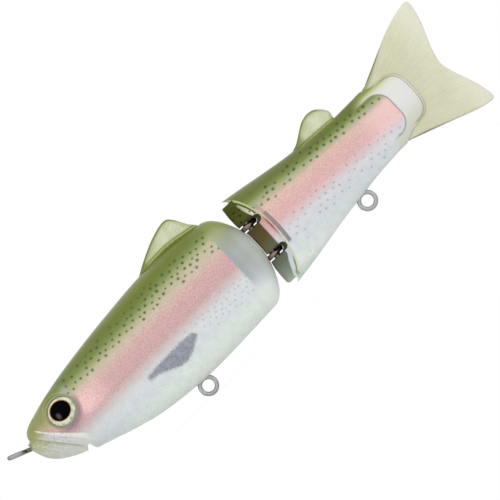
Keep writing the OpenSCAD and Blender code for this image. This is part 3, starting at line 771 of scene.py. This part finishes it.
def grid_normals(rings):
    """The outward direction at every point of a grid of rings."""
    across = np.roll(rings, -1, axis=1) - np.roll(rings, 1, axis=1)
    along = np.gradient(rings, axis=0)
    normal = np.cross(across, along)
    length = np.linalg.norm(normal, axis=2, keepdims=True)
    return -normal / np.maximum(length, 1e-9)


def eye_slopes():
    """Half width of the cheek at the eye, and how it changes with x and z."""
    x, z = EYE.x, EYE.z
    along = (front_skin_y(x + 3, z) - front_skin_y(x - 3, z)) / 6
    up = (front_skin_y(x, z + 3) - front_skin_y(x, z - 3)) / 6
    return float(front_skin_y(x, z)), float(along), float(up)


def add_hair_line(rings):
    """The line along back and belly where the half shells meet."""
    rings[:, 0, 2] += HAIR_LINE
    rings[:, RING // 2, 2] -= HAIR_LINE


def front_rings():
    lips = SNOUT * (1 - np.cos(np.linspace(0.12, np.pi / 2, 12)))
    head = np.concatenate([lips, np.arange(SNOUT + 0.2, HEAD_END, 0.2)])
    body = np.linspace(HEAD_END, CREASE_X, 90)
    wedge = CREASE_X + WEDGE_LEN * np.sin(np.linspace(0.05, 1.0, 22) * np.pi / 2)
    xs = np.concatenate([head, body, wedge])
    half, top, bottom, mid = front_lines(xs)
    snout = np.sqrt(1 - np.clip(1 - xs / SNOUT, 0, 1) ** 2)
    rings = section(xs, (half * snout, mid + (top - mid) * snout, mid + (bottom - mid) * snout, mid),
                    ROUNDNESS, RING)
    x, y, z = np.moveaxis(rings, 2, 0)
    width, along, up = eye_slopes()
    seat = width - EYE_SEAT + along * (x - EYE.x) + up * (z - EYE.z)
    away = np.hypot(x - EYE.x, z - EYE.z)
    hold = 1 - ease(4.9, 8.2, away)
    rings[:, :, 1] = np.where(np.abs(y) > 2, np.sign(y) * (np.abs(y) * (1 - hold) + seat * hold), y)
    shift = ease(0.05, 0.35, above_mouth(x, z)) * 1.05 * np.clip(1 - x / 4, 0, 1) ** 2
    normal = grid_normals(rings)
    rings = rings - normal * face_relief(x, z)[:, :, None]
    rings[:, :, 0] += shift
    rings = np.concatenate([rings] + [rings[-1:] * (1, k, 1) for k in (0.7, 0.4, 0.1)])
    x, y, z = np.moveaxis(rings, 2, 0)
    crown = WEDGE_CROWN * np.clip((x - CREASE_X) / WEDGE_LEN, 0, 1) ** 5
    rings[:, :, 0] += crown * (1 - 0.13 * np.minimum(y**2, 4))
    add_hair_line(rings[len(lips):])
    return rings


def eye_matrix(side):
    """The eye's own frame: its axis points out of the cheek."""
    width, along, up = eye_slopes()
    out = Vector((-along, 1, -up)).normalized()
    out.y *= side
    across = Vector((0, 0, 1)).cross(out).normalized()
    turn = Matrix((across, out.cross(across), out)).transposed().to_4x4()
    oval = Matrix.Diagonal((1.08, 1, 1, 1))
    return Matrix.Translation((EYE.x, side * width, EYE.z)) @ turn @ oval


def lathe(name, profile, matrix, *materials, n=96):
    """A turned solid: (radius, height) points from the top of its axis down to the bottom."""
    angle = np.linspace(0, 2 * np.pi, n, endpoint=False)
    rings = [[matrix @ Vector((r * math.cos(a), r * math.sin(a), h)) for a in angle] for r, h in profile]
    return loft(name, np.array(rings), *materials)


def make_front_skin():
    skin = loft("front_skin", front_rings(), front_paint)
    notch = [(11.8, -10), (13.2, -7.7), (14.4, -7.5), (14.9, -9.2), (15.5, -13)]
    notch = prism("notch", notch, 1, -15, 15, front_paint)
    combine(skin, notch, "DIFFERENCE")
    for side in (-1, 1):
        hole = lathe("hole", [(4.5, 5), (4.5, -1.6)], eye_matrix(side), front_paint)
        combine(skin, hole, "DIFFERENCE")
    return smooth(skin, 38)


front_skin = make_front_skin()
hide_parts("front_shell_left", "front_shell_right")
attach(front_skin, "front")
print("front skin", len(front_skin.data.polygons), "faces")

# %% [markdown]
# ## Eyes
# Each eye is a clear dome over a disc of printed foil: a black pupil with a painted soft reflection, a thin
# gold ring and a pearl white iris, slightly longer than high. It sits in a round seat with a soft raised
# collar. The print is a formula of the distance from the eye's centre, so its edges stay sharp at any size.


# %% Eye finishes
def make_eye_print():
    """The foil under the dome: a black pupil with a painted soft reflection, a thin gold ring and a pearl
    iris.
    """
    paint = Paint("eye_print", 0.15, Specular_IOR_Level=0.02)
    x, y, z = paint.where()
    away = distance((x - EYE.x) / 3.42, (z - EYE.z - 0.25) / 3.0)
    sheen = paint.noise(paint.vector(x, z, y), 0.75, 3.0)
    pearl = sheen.ramp((0.3, rgb(168, 174, 150)), (0.45, rgb(214, 219, 208)), (0.6, rgb(238, 240, 232)),
                       (0.75, rgb(190, 196, 178)))
    colour = away.fall(1.03, 1.1).blend(pearl, rgb(206, 150, 70))
    # A painted reflection in the pupil.
    pupil_reflection = distance((x - EYE.x + 1.45) / 0.95, (z - EYE.z + 0.7) / 1.3).fall(0.2, 1.1)
    pupil = pupil_reflection.blend(rgb(3, 3, 4), rgb(72, 76, 88))
    paint.set("Base Color", away.fall(0.98, 1.0).blend(colour, pupil))
    return paint.material


def make_collar_paint():
    """Olive plastic, painted a little darker underneath as shade."""
    paint = Paint("eye_collar", 0.3, Coat_Weight=0.4)
    x, y, z = paint.where()
    paint.set("Base Color", (z - EYE.z).ramp((-5, rgb(143, 143, 95)), (5, rgb(148, 148, 97))))
    return paint.material


eye_print, collar_paint = make_eye_print(), make_collar_paint()
print("eye finishes", eye_print.name, collar_paint.name)


# %% Eyes
def dome_height(r):
    """Height of the dome over the cheek at a distance from the eye's axis."""
    edge, rise, sink = 4.4, 1.5, 0.75
    ball = (edge**2 + rise**2) / (2 * rise)
    return math.sqrt(ball**2 - r**2) + rise - ball - sink


def make_eye(name, side):
    radii = [0.02, 0.5, 1, 1.5, 2, 2.4, 2.8, 3.15, 3.28, 3.42, 3.7, 4, 4.2, 4.32]
    profile = [(r, dome_height(r)) for r in radii] + [(4.38, -0.85), (4.38, -1.5)]
    return smooth(lathe(name, profile, eye_matrix(side), eye_print), 50)


def make_collar(name, side):
    profile = [(4.42, -1.5), (4.42, -0.5), (4.47, -0.27), (4.6, -0.12), (4.78, -0.08), (4.95, -0.16),
               (5.12, -0.34), (5.2, -0.7), (5.2, -1.5)]
    angle = np.linspace(0, 2 * np.pi, 96, endpoint=False)
    at = eye_matrix(side)
    rings = np.array([[at @ Vector((r * math.cos(a), r * math.sin(a), h)) for r, h in profile]
                      for a in angle])
    n, rows = len(profile), len(angle)
    faces = [(i * n + j, (i + 1) % rows * n + j, (i + 1) % rows * n + (j + 1) % n, i * n + (j + 1) % n)
             for i in range(rows) for j in range(n)]
    return smooth(outward(mesh_piece(name, rings.reshape(-1, 3), faces, collar_paint)), 60)


for word, side in (("left", -1), ("right", 1)):
    eye = make_eye("eye_" + word, side)
    collar = make_collar("eye_collar_" + word, side)
    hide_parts("eye_dome_" + word)
    for piece, slot in ((eye, "eye_dome"), (collar, "front_shell")):
        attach(piece, "front")
print("eye width", round(eye.dimensions.x / MM, 2))

# %% [markdown]
# ## The rear skin and the V joint
# The rear body is a hood over the hinge. Its rim runs back in a V on each flank, and inside it a tongue with
# a round nose turns on the pin. The nose leans forward above and below and steps back at mid height, where
# the wedge stands close before it. Two slots let the wire eyes of the front body swing: a stepped opening
# that the wire nearly fills, between two wide pockets with round, blind ends. Each of these is a cut, made in
# the order a mould maker would think of it: all that is not skin or tongue goes, then bevels, then slots.

# %% Rear skin
UPPER_EYE_Z, LOWER_EYE_Z = 7.1, -4.5
TONGUE_NOSE = [(-14.1, 0.3), (-13.9, 0.8), (-13.2, 1.1), (-11, 1.05), (-8, 0.85), (-6, 0.45), (-5, 0.22),
               (-4, -0.04), (-3, -0.24), (-2, -0.37), (-1, -0.42), (4, -0.42), (5, -0.34), (6, -0.17),
               (7, 0.08), (8, 0.38), (10, 0.6), (13, 0.6), (16.3, 0.25)]
RIM_T = 0.85
SLOT_H = 2.8
SNUG = 0.85
WIRE_R = 0.7
EYE_OUT = 3.0
SLOT_END = EYE_OUT + 1.5
WEB_T = 1.6
TAIL_SLOT = 2.6
POST = (SLOT_X + 5.4, 3.4)


def rear_rings(xs, inset=0.0, n=RING):
    return section(xs, rear_lines(xs, inset), rear_power(xs), n)


def arc(x, z, r, start, end, n=12):
    """Points on an arc, in degrees."""
    return [(x + r * math.cos(a), z + r * math.sin(a)) for a in np.radians(np.linspace(start, end, n))]


def tongue_ring(z, more):
    """The tongue at one height: a round nose that stands out or in by more, and two straight facets."""
    r, out = TONGUE_R + min(more, 0), max(more, 0)
    nose = [(r * math.cos(a) - out * math.cos(2 * a), r * math.sin(a))
            for a in np.radians(np.linspace(135, 225, 24))]
    return [(PIVOT_X + x, y, z) for x, y in [(18.5, 20.27), *nose, (18.5, -20.27)]]


def make_joint_cut():
    """What isn't skin or tongue at the front of the rear body."""
    slope = REAR_W / 2 / (RIM_WAIST_X - RIM_TIP_X)
    far = (RIM_TIP_X + 12, 12 * slope)
    plan = [(PIVOT_X - 12, -far[1]), (far[0], -far[1]), (RIM_TIP_X, 0), far, (PIVOT_X - 12, far[1])]
    cut = prism("cut", plan, 2, -25, 25, rim_paint)
    core = loft("core", rear_rings(PIVOT_X + np.linspace(-3, 7, 11), RIM_T, 96), joint_paint)
    combine(cut, core, "UNION")
    rings = np.array([tongue_ring(z, more) for z, more in TONGUE_NOSE])
    combine(cut, loft("tongue", rings, joint_paint), "DIFFERENCE")
    back = [(PIVOT_X + 2.2, -5), (PIVOT_X + 20, -5), (PIVOT_X + 20, 5), (PIVOT_X + 2.2, 5)]
    combine(cut, prism("bulkhead", back, 2, -26, 26, joint_paint), "DIFFERENCE")
    return cut


def cut_slot(skin, z):
    """A slot for a wire eye: a stepped opening at the middle and a wide pocket on each side of it."""
    front = PIVOT_X - 10
    ring_end = arc(PIVOT_X + EYE_OUT - WIRE_R, z, WIRE_R + 0.07, -90, 90)
    opening = [(front, z - 1.15), (PIVOT_X - 0.9, z - 1.15), (PIVOT_X - 0.9, z - SNUG),
               (PIVOT_X + 1, z - SNUG), (PIVOT_X + 1, z - 1.1), (PIVOT_X + 2.2, z - 1.1),
               (PIVOT_X + 2.2, z - SNUG), *ring_end, (PIVOT_X - 1.6, z + SNUG),
               (PIVOT_X - 1.6, z + 1.3), (front, z + 1.3)]
    combine(skin, prism("opening", opening, 1, -1, 1, pocket_paint), "DIFFERENCE")
    r = SLOT_H / 2
    pocket = [(front, z - r), *arc(PIVOT_X + SLOT_END - r, z, r, -90, 90), (front, z + r)]
    for side in (-1, 1):
        ends = sorted((side * WEB_T / 2, side * 20))
        combine(skin, prism("pocket", pocket, 1, *ends, pocket_paint), "DIFFERENCE")


def make_rear_skin():
    hood = np.linspace(PIVOT_X - 3.8, PIVOT_X + 12, 54)
    body = np.linspace(PIVOT_X + 12.4, CHEEK_X, 90)
    end = CHEEK_X + (REAR_END - CHEEK_X) * np.sin(np.linspace(0.05, 1, 22) * np.pi / 2)
    rings = rear_rings(np.concatenate([hood, body, end]))
    add_hair_line(rings)
    skin = loft("rear_skin", rings, rear_paint)
    combine(skin, make_joint_cut(), "DIFFERENCE")
    for bevel in ([(92, 18.35), (93.45, 18.35), (95.6, 16.7), (92, 16.7)],
                  [(92, -16.2), (92, -14.5), (95.4, -14.5), (93.45, -16.2)]):
        combine(skin, prism("bevel", bevel, 1, -3, 3, rim_paint), "DIFFERENCE")
    for z in (UPPER_EYE_Z, LOWER_EYE_Z):
        cut_slot(skin, z)
    gap = [(SLOT_X, -25), (SLOT_X + 20, -25), (SLOT_X + 20, 25), (SLOT_X, 25)]
    combine(skin, prism("gap", gap, 1, -TAIL_SLOT / 2, TAIL_SLOT / 2, rear_paint), "DIFFERENCE")
    post = prism("post", arc(*POST, 1.7, 0, 345, 24), 1, -1.7, 1.7, rear_paint)
    combine(skin, post, "UNION")
    return smooth(skin, 38)


rear_skin = make_rear_skin()
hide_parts("rear_shell_left", "rear_shell_right")
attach(rear_skin, "rear")
print("rear skin", len(rear_skin.data.polygons), "faces")

# %% [markdown]
# ## Soft fins
# The back fins and the tail are moulded in soft vinyl, pale and a little see-through. Each is a flat plate
# that thins towards its edge, with fine slanting rays and a raised bead at its foot. A grid across the fin
# carries all of it, where an extruded outline would stay flat. It also keeps each point's distance from the
# edge and the foot, which the paint reads.


# %% Fins
def fin_solid(name, grid, half, *materials):
    """A closed plate from a grid of side view points and its half thickness at each point."""
    x, z = grid
    right = np.stack([x, half, z], axis=2)
    left = np.stack([x, -half, z], axis=2)[:, ::-1]
    return smooth(loft(name, np.concatenate([right, left], axis=1), *materials), 50)


def make_fin_paint():
    """Vinyl: dark round the edge, with a painted highlight on the bead at the foot and painted shade beside
    it.
    """
    paint = Paint("fin_vinyl", 0.35, Coat_Weight=0.1, Specular_IOR_Level=0.3)
    x, y, z = paint.where()
    foot, edge, ray = (paint.node("Attribute", {"attribute_name": name}, out=2)
                       for name in ("foot", "edge", "ray"))
    colour = edge.ramp((0, rgb(98, 110, 50)), (0.3, rgb(110, 122, 60)), (0.6, rgb(152, 162, 104)),
                       (1, rgb(180, 188, 140)), (2, rgb(194, 200, 160)), (3.2, rgb(203, 208, 174)))
    light = x.band(71, 80.5, 2.5).most(x.rise(128, 131))
    colour = (light * edge.rise(0.4, 1.2) * 0.5).blend(colour, rgb(218, 222, 198))
    rear = x.band(80, 95, 0.8).most(x.rise(133.6, 135.6))
    colour = (rear * edge.fall(0, 1.4) * 0.75).blend(colour, rgb(204, 208, 192))
    patchy = paint.noise(paint.vector(x, z), 0.4).rise(0.42, 0.6)
    colour = (ray.rise(-0.6, 0.9) * x.rise(68, 76) * patchy * 0.6).blend(colour, rgb(166, 174, 122))
    # Painted highlight along the bead at the foot, with painted shade just above and below it.
    base = foot.ramp((-0.9, rgb(88, 100, 40)), (-0.6, rgb(124, 128, 60)), (-0.22, rgb(138, 142, 66)),
                     (-0.08, rgb(190, 200, 122)), (0.08, rgb(194, 204, 128)), (0.2, rgb(112, 128, 58)),
                     (0.5, rgb(140, 154, 88)))
    colour = foot.fall(0.4, 1.1).blend(colour, base)
    root = x.band(50, 64.5, 1).most(x.band(110, 125.2, 1))
    colour = (root * 0.6).blend(colour, rgb(104, 118, 52))
    paint.set("Base Color", colour)
    return paint.material


def store(piece, name, values):
    """Keeps one number per point with the mesh, for its finish to read."""
    layer = piece.data.attributes.new(name, "FLOAT", "POINT")
    layer.data.foreach_set("value", np.asarray(values, float).ravel())


def back_fin(name, base, outline, bead, rays):
    """A back fin from stations (share, x, z) along its outline, over a base line of the same shares.

    bead is the line of the raised bead at its foot, and rays is how far its slanting rays stand out.
    """
    t = np.linspace(0, 1, 150)[:, None]
    u = (1 - np.cos(np.linspace(0, np.pi, 44)))[None, :] / 2
    shares, xs, zs = np.array(outline, float).T
    top_x, top_z = curve(list(zip(shares, xs)))(t), curve(list(zip(shares, zs)))(t)
    low_x, low_z = base(t)
    x, z = low_x + (top_x - low_x) * u, low_z + (top_z - low_z) * u
    to_edge = np.hypot(top_x - x, top_z - z)
    to_edge = np.minimum(to_edge, np.hypot(x - xs[-1], (z - zs[-1]) * 0.5))
    foot = z - curve(bead)(x)
    ray = np.sin(2 * np.pi * (z * math.cos(0.4) - x * math.sin(0.4)) / 0.9) * ease(0.6, 1.4, foot)
    ray = ray * ease(0.5, 1.6, to_edge)
    thin = 0.9 - 0.5 * ease(0.35, 1, u)
    round_edge = np.sqrt(1 - np.clip(1 - to_edge / 0.45, 0, 1) ** 2)
    half = (thin + rays * ray) * round_edge + 0.02 + 0.22 * gauss(foot, 0.15) * ease(0.1, 0.6, to_edge)
    fin = fin_solid(name, (x, z), half, fin_paint)
    for word, values in (("foot", foot), ("edge", to_edge), ("ray", ray * (rays > 0.03))):
        store(fin, word, np.concatenate([values, values[:, ::-1]], axis=1))
    return fin


def front_base(t):
    x = 61.4 + 22.2 * t
    return x + 0 * t, front_lines(x)[1] - 2.8


def rear_base(t):
    x = 121 + 15.4 * t
    return x + 0 * t, rear_lines(x)[1] - 2.8


fin_paint = make_fin_paint()
DORSAL = [(0, 59.8, 18.7), (0.12, 63, 20.6), (0.25, 66, 22.2), (0.38, 69, 23.65), (0.5, 72, 24.85),
          (0.62, 74.8, 25.7), (0.7, 76.9, 26), (0.76, 78.4, 25.6), (0.81, 79.6, 24.3), (0.87, 80.8, 22.4),
          (0.93, 82, 20.3), (1, 83.8, 18.2)]
ADIPOSE = [(0, 120, 14.2), (0.13, 122.5, 15.1), (0.27, 125.3, 16.9), (0.4, 128, 18.7), (0.5, 130, 19.4),
           (0.6, 131.8, 19.6), (0.7, 133.8, 19.1), (0.8, 135.6, 17.7), (0.88, 136.7, 16.1),
           (0.94, 136.9, 14.8), (1, 136.3, 13.2)]
DORSAL_BEAD = [(61, 19.2), (65, 19.6), (70, 19.9), (73, 19.9), (76, 19.6), (80, 18.95), (84, 18.3)]
ADIPOSE_BEAD = [(121, 13.8), (123.4, 13.6), (128.4, 13.35), (133, 13.1), (137, 12.9)]
dorsal = back_fin("dorsal", front_base, DORSAL, DORSAL_BEAD, 0.07)
adipose = back_fin("adipose", rear_base, ADIPOSE, ADIPOSE_BEAD, 0.01)
for piece, node, body in ((dorsal, "dorsal_fin", "front"), (adipose, "adipose_fin", "rear")):
    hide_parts(node)
    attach(piece, body)
print("fins", len(dorsal.data.polygons), len(adipose.data.polygons))

# %% [markdown]
# ## The tail
# The tail is one soft piece, clamped by its root between the cheeks and clipped round a post, so that it can
# be pulled out backwards. A grid spread between its four edges, the root, the fork and the two long sides,
# follows the fin's own flow, so that the ridges fan out from the root as they do on the moulded one.


# %% Tail
def edge_curve(points):
    """Points along a line, by the share of its length."""
    p = np.array(points, float)
    run = np.concatenate([[0], np.cumsum(np.hypot(*np.diff(p, axis=0).T))])
    run = run / run[-1]
    x, z = curve(list(zip(run, p[:, 0]))), curve(list(zip(run, p[:, 1])))
    return lambda t: np.stack([x(t), z(t)])


def patch(u, v, low, high, root, end):
    """Points spread over four edges: low and high run along u, root and end along v."""
    corners = ((1 - u) * (1 - v) * root(0 * v) + u * (1 - v) * end(0 * v)
               + (1 - u) * v * root(0 * v + 1) + u * v * end(0 * v + 1))
    sides = (1 - v) * low(u + 0 * v) + v * high(u + 0 * v)
    return sides + (1 - u) * root(v + 0 * u) + u * end(v + 0 * u) - corners


def make_tail_paint():
    paint = Paint("tail_vinyl", 0.34, Coat_Weight=0.2, Coat_Roughness=0.12)
    x, y, z = paint.where()
    colour = x.ramp((150, rgb(203, 203, 172)), (160, rgb(205, 204, 174)), (166, rgb(208, 208, 178)),
                    (170, rgb(215, 215, 187)), (173, rgb(223, 223, 199)), (177, rgb(226, 226, 204)))
    olive = (z - (x - 148) * 0.45 - 11.5).rise(-0.6, 1.2) * x.fall(150, 162)
    colour = olive.blend(colour, rgb(142, 146, 84))
    cloud = paint.noise(paint.vector(x, z, y), 0.16, 3.0)
    colour = (cloud.band(0.5, 0.8, 0.1) * 0.25).blend(colour, rgb(220, 221, 200))
    streak = paint.noise(paint.vector((z - 3.2) / (x - 128) * 40, x * 0.15), 1.0, 3.0)
    fine = paint.noise(paint.vector(x, z, y), 1.8)
    colour = paint.shaded(colour, 1 + (streak - 0.5) * 0.16 + (fine - 0.5) * 0.16)
    edge = paint.node("Attribute", {"attribute_name": "edge"}, out=2)
    colour = (edge.fall(0.1, 0.6) * x.fall(150, 172) * 0.6).blend(colour, rgb(160, 162, 116))
    colour = (edge.fall(0.1, 0.8) * x.rise(168, 174) * 0.5).blend(colour, rgb(224, 222, 214))
    # Painted shadow of the cheeks on the tail beside them.
    cheek_shadow = cheek_reach(x, z).fall(1.0, 1.25) * x.rise(150, 153)
    colour = (cheek_shadow * 0.4).blend(colour, rgb(168, 166, 128))
    paint.set("Base Color", colour)
    return paint.material


def make_tail():
    v, u = np.linspace(0, 1, 150)[:, None], np.linspace(0, 1, 110)[None, :]
    x0 = TAIL_X
    low = edge_curve([(x0, -7.75), (152, -8.7), (156, -10), (164, -13), (171, -15.4), (175.2, -16.2),
                      (176.2, -16.05)])
    high = edge_curve([(x0, 13.3), (150.4, 13.75), (153.2, 14.8), (157.2, 16.7), (164, 20.3), (170, 22.6),
                       (174, 23.6), (176.3, 23.95), (177, 23.6)])
    root = edge_curve([(x0, -7.75), (x0, 13.3)])
    end = edge_curve([(176.2, -16.05), (176.65, -15.5), (176.5, -13.4), (175.5, -9), (173.2, -2.8),
                      (172, 1), (171.7, 3.3), (173, 8.4), (174.8, 12.9), (176.5, 17.6), (177.3, 21.4),
                      (177.35, 22.9), (177, 23.6)])
    x, z = patch(u, v, low, high, root, end)
    width = np.hypot(x[:, -1:] - x[:, :1], 1) * np.ones_like(x)
    to_end = (1 - u) * width
    to_side = np.minimum(v, 1 - v) * (high(u)[1] - low(u)[1])
    thin = 1 - 0.6 * ease(x0 + 11, x0 + 29, x)
    to_edge = np.minimum(to_end, to_side)
    rounding = np.sqrt(1 - np.clip(1 - to_edge / 0.6, 0, 1) ** 2)
    ridge = 0.012 * np.sin(2 * np.pi * 17 * v) * ease(x0 + 12, x0 + 18, x) * ease(0.5, 2, to_edge)
    tail = fin_solid("tail", (x, z), (thin + ridge) * rounding + 0.02, tail_paint)
    store(tail, "edge", np.concatenate([to_edge, to_edge[:, ::-1]], axis=1))
    x, z = POST
    clip = [(x - 9, z - 2), (x - 9, z + 2)] + arc(x, z, 2, 90, -90)
    combine(tail, prism("clip", clip, 1, -3, 3, tail_paint), "DIFFERENCE")
    return smooth(tail, 50)


tail_paint = make_tail_paint()
tail = make_tail()
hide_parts("tail_fin")
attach(tail, "tail")
print("tail", len(tail.data.polygons), "faces")

# %% [markdown]
# ## Metal parts
# The line tie, hook hangers and hinge eyes are bent from stainless wire, and the pin is the same steel. The
# CAD meshes of these parts are already exact, so they only need a finish. Round wire in a white room is
# bright where it faces the eye and dark at its edges, so this light and shade is painted by how far the
# surface faces away. The tie's shank gets a painted green reflection of the body, and the hinge eyes and pin
# a darker steel as painted shade of their slots.


# %% Steel and lead
def make_steel(name, light, dark, roughness, body_reflection=0.0):
    paint = Paint(name, roughness, Metallic=1.0)
    x, y, z = paint.where()
    scratch = paint.noise(paint.vector(x, y * 6, z * 6), 1.2, 3.0)
    paint.set("Roughness", scratch * 0.2 + (roughness - 0.1))
    facing = paint.node("LayerWeight", {}, 0.5, out=1)
    # Painted light and shade: bright where the wire faces the eye, dark at its edges.
    colour = facing.ramp((0, light), (0.35, light), (0.7, dark), (1, dark))
    # A painted green reflection of the body on the tie's shank, near the body.
    paint.set("Base Color", (x.rise(-4, -0.5) * body_reflection).blend(colour, rgb(58, 66, 40)))
    return paint.material


def dress(material, slot, *names):
    for name in names:
        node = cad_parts[name]
        node.data.materials.clear()
        node.data.materials.append(material)
        node.data.shade_smooth()


wire_steel = make_steel("wire_steel", rgb(186, 188, 188), rgb(118, 122, 122), 0.28)
# The tie's dark tone is greenish: a painted reflection of the body.
tie_steel = make_steel("tie_steel", rgb(170, 174, 172), rgb(74, 82, 62), 0.25, 0.7)
# The hinge eyes and pin sit in dark slots, so their steel is a darker copy: painted shade.
hinge_steel = make_steel("hinge_steel", rgb(150, 128, 120), rgb(22, 18, 14), 0.22)
pin_steel = make_steel("pin_steel", rgb(120, 116, 108), rgb(50, 46, 38), 0.25)
ballast_lead = make_steel("ballast_lead", rgb(110, 112, 114), rgb(80, 82, 84), 0.5)
dress(wire_steel, "wire", "front_hook_hanger", "rear_hook_hanger")
dress(tie_steel, "wire", "line_tie")
dress(hinge_steel, "wire", "upper_hinge_eye", "lower_hinge_eye")
dress(pin_steel, "pin", "hinge_pin")
dress(eye_print, "eye_foil", "eye_foil_left", "eye_foil_right")
dress(ballast_lead, "ballast", "fore_ballast", "aft_ballast", "rear_ballast")
print("wire parts dressed")

# %% [markdown]
# ## Floor, light and camera
# The lure stands on a pale floor in a white room under two broad, soft lamps. The floor lies just under its
# lowest point and takes a faint shadow. The world is white to the camera and to reflections, and dimmer as a
# light, so that colours render about as written.

# %% Size, before the floor
low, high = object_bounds()
print("size", [round((h - l) / MM, 1) for l, h in zip(low, high)])


# %% Floor
def make_floor_material():
    """Pale and matt. To the camera it glows a little too, which leaves a faint shadow."""
    paint = Paint("floor", 0.9)
    paint.surface.inputs["Base Color"].default_value = (0.9, 0.9, 0.9, 1)
    matt = Value(paint, paint.surface.outputs[0])
    glow = paint.node("Emission", {}, (1, 1, 1, 1), 1.22)
    to_camera = paint.node("LightPath", {})
    mixed = paint.node("MixShader", {}, to_camera * 0.6, matt, glow)
    paint.links.new(mixed.socket, paint.nodes["Material Output"].inputs["Surface"])
    return paint.material


def make_floor(level):
    mesh = bpy.data.meshes.new("floor")
    r = 0.9
    mesh.from_pydata([(-r, -r, level), (r, -r, level), (r, r, level), (-r, r, level)], [], [(0, 1, 2, 3)])
    mesh.materials.append(make_floor_material())
    floor = bpy.data.objects.new("floor", mesh)
    bpy.context.collection.objects.link(floor)


make_floor(low[2] - 0.0005)
print("floor at", round((low[2] - 0.0005) / MM, 1), "mm")


# %% World and lamps
def make_world(light):
    """White to the camera, in reflections and through clear things, and dimmer as a light."""
    world = bpy.data.worlds.new("studio")
    bpy.context.scene.world = world
    sky = Tree(world)
    camera_ray = sky.node("LightPath", {})
    glossy_ray, transmission_ray = camera_ray.output(3), camera_ray.output(6)
    seen = camera_ray.most(glossy_ray).most(transmission_ray)
    strength = sky.node("MapRange", {}, seen, 0, 1, light, 1)
    background = sky.nodes["Background"]
    background.inputs["Color"].default_value = (1, 1, 1, 1)
    sky.links.new(strength.socket, background.inputs["Strength"])


def lamp(name, at, aim, size, power):
    """A square soft lamp that faces a point."""
    light = bpy.data.lights.new(name, "AREA")
    light.size, light.energy = size, power
    piece = bpy.data.objects.new(name, light)
    bpy.context.collection.objects.link(piece)
    piece.location = at
    piece.visible_glossy = False
    piece.rotation_euler = (Vector(aim) - Vector(at)).to_track_quat("-Z", "Y").to_euler()


ROLL = math.radians(43.5)
aim = Vector((0.0945, 0, -0.0035))
right = Vector((math.cos(ROLL), 0, -math.sin(ROLL)))
up = Vector((math.sin(ROLL), 0, math.cos(ROLL)))
make_world(0.72)
lamp("key", aim - right * 0.3 + up * 0.35 + Vector((0, -0.9, 0)), aim, 0.6, 3.2)
lamp("fill", aim + right * 0.5 - up * 0.35 + Vector((0, -0.9, 0)), aim, 0.6, 1.6)
print("lamps", len(bpy.data.lights))

# %% [markdown]
# ## Camera
# The lure is looked at square on from its left side and lies slanting across the picture, so the camera is
# rolled by the same angle. It could be turned by hand until it looks right. Built from its own right, up and
# back directions, it is exact. A long lens far away keeps the view almost free of perspective.

# %% Camera
CAMERA_AWAY = 1.5
VIEW_WIDTH = 0.1525
lens = bpy.data.cameras.new("camera")
lens.sensor_width = 36
lens.lens = lens.sensor_width * CAMERA_AWAY / VIEW_WIDTH
camera = bpy.data.objects.new("camera", lens)
bpy.context.collection.objects.link(camera)
camera.matrix_world = Matrix((right, up, (0, -1, 0))).transposed().to_4x4()
camera.location = aim + Vector((0, -CAMERA_AWAY, 0))
bpy.context.scene.camera = camera
bpy.context.scene.view_settings.view_transform = "Standard"
print("lens", round(lens.lens, 1), "mm")
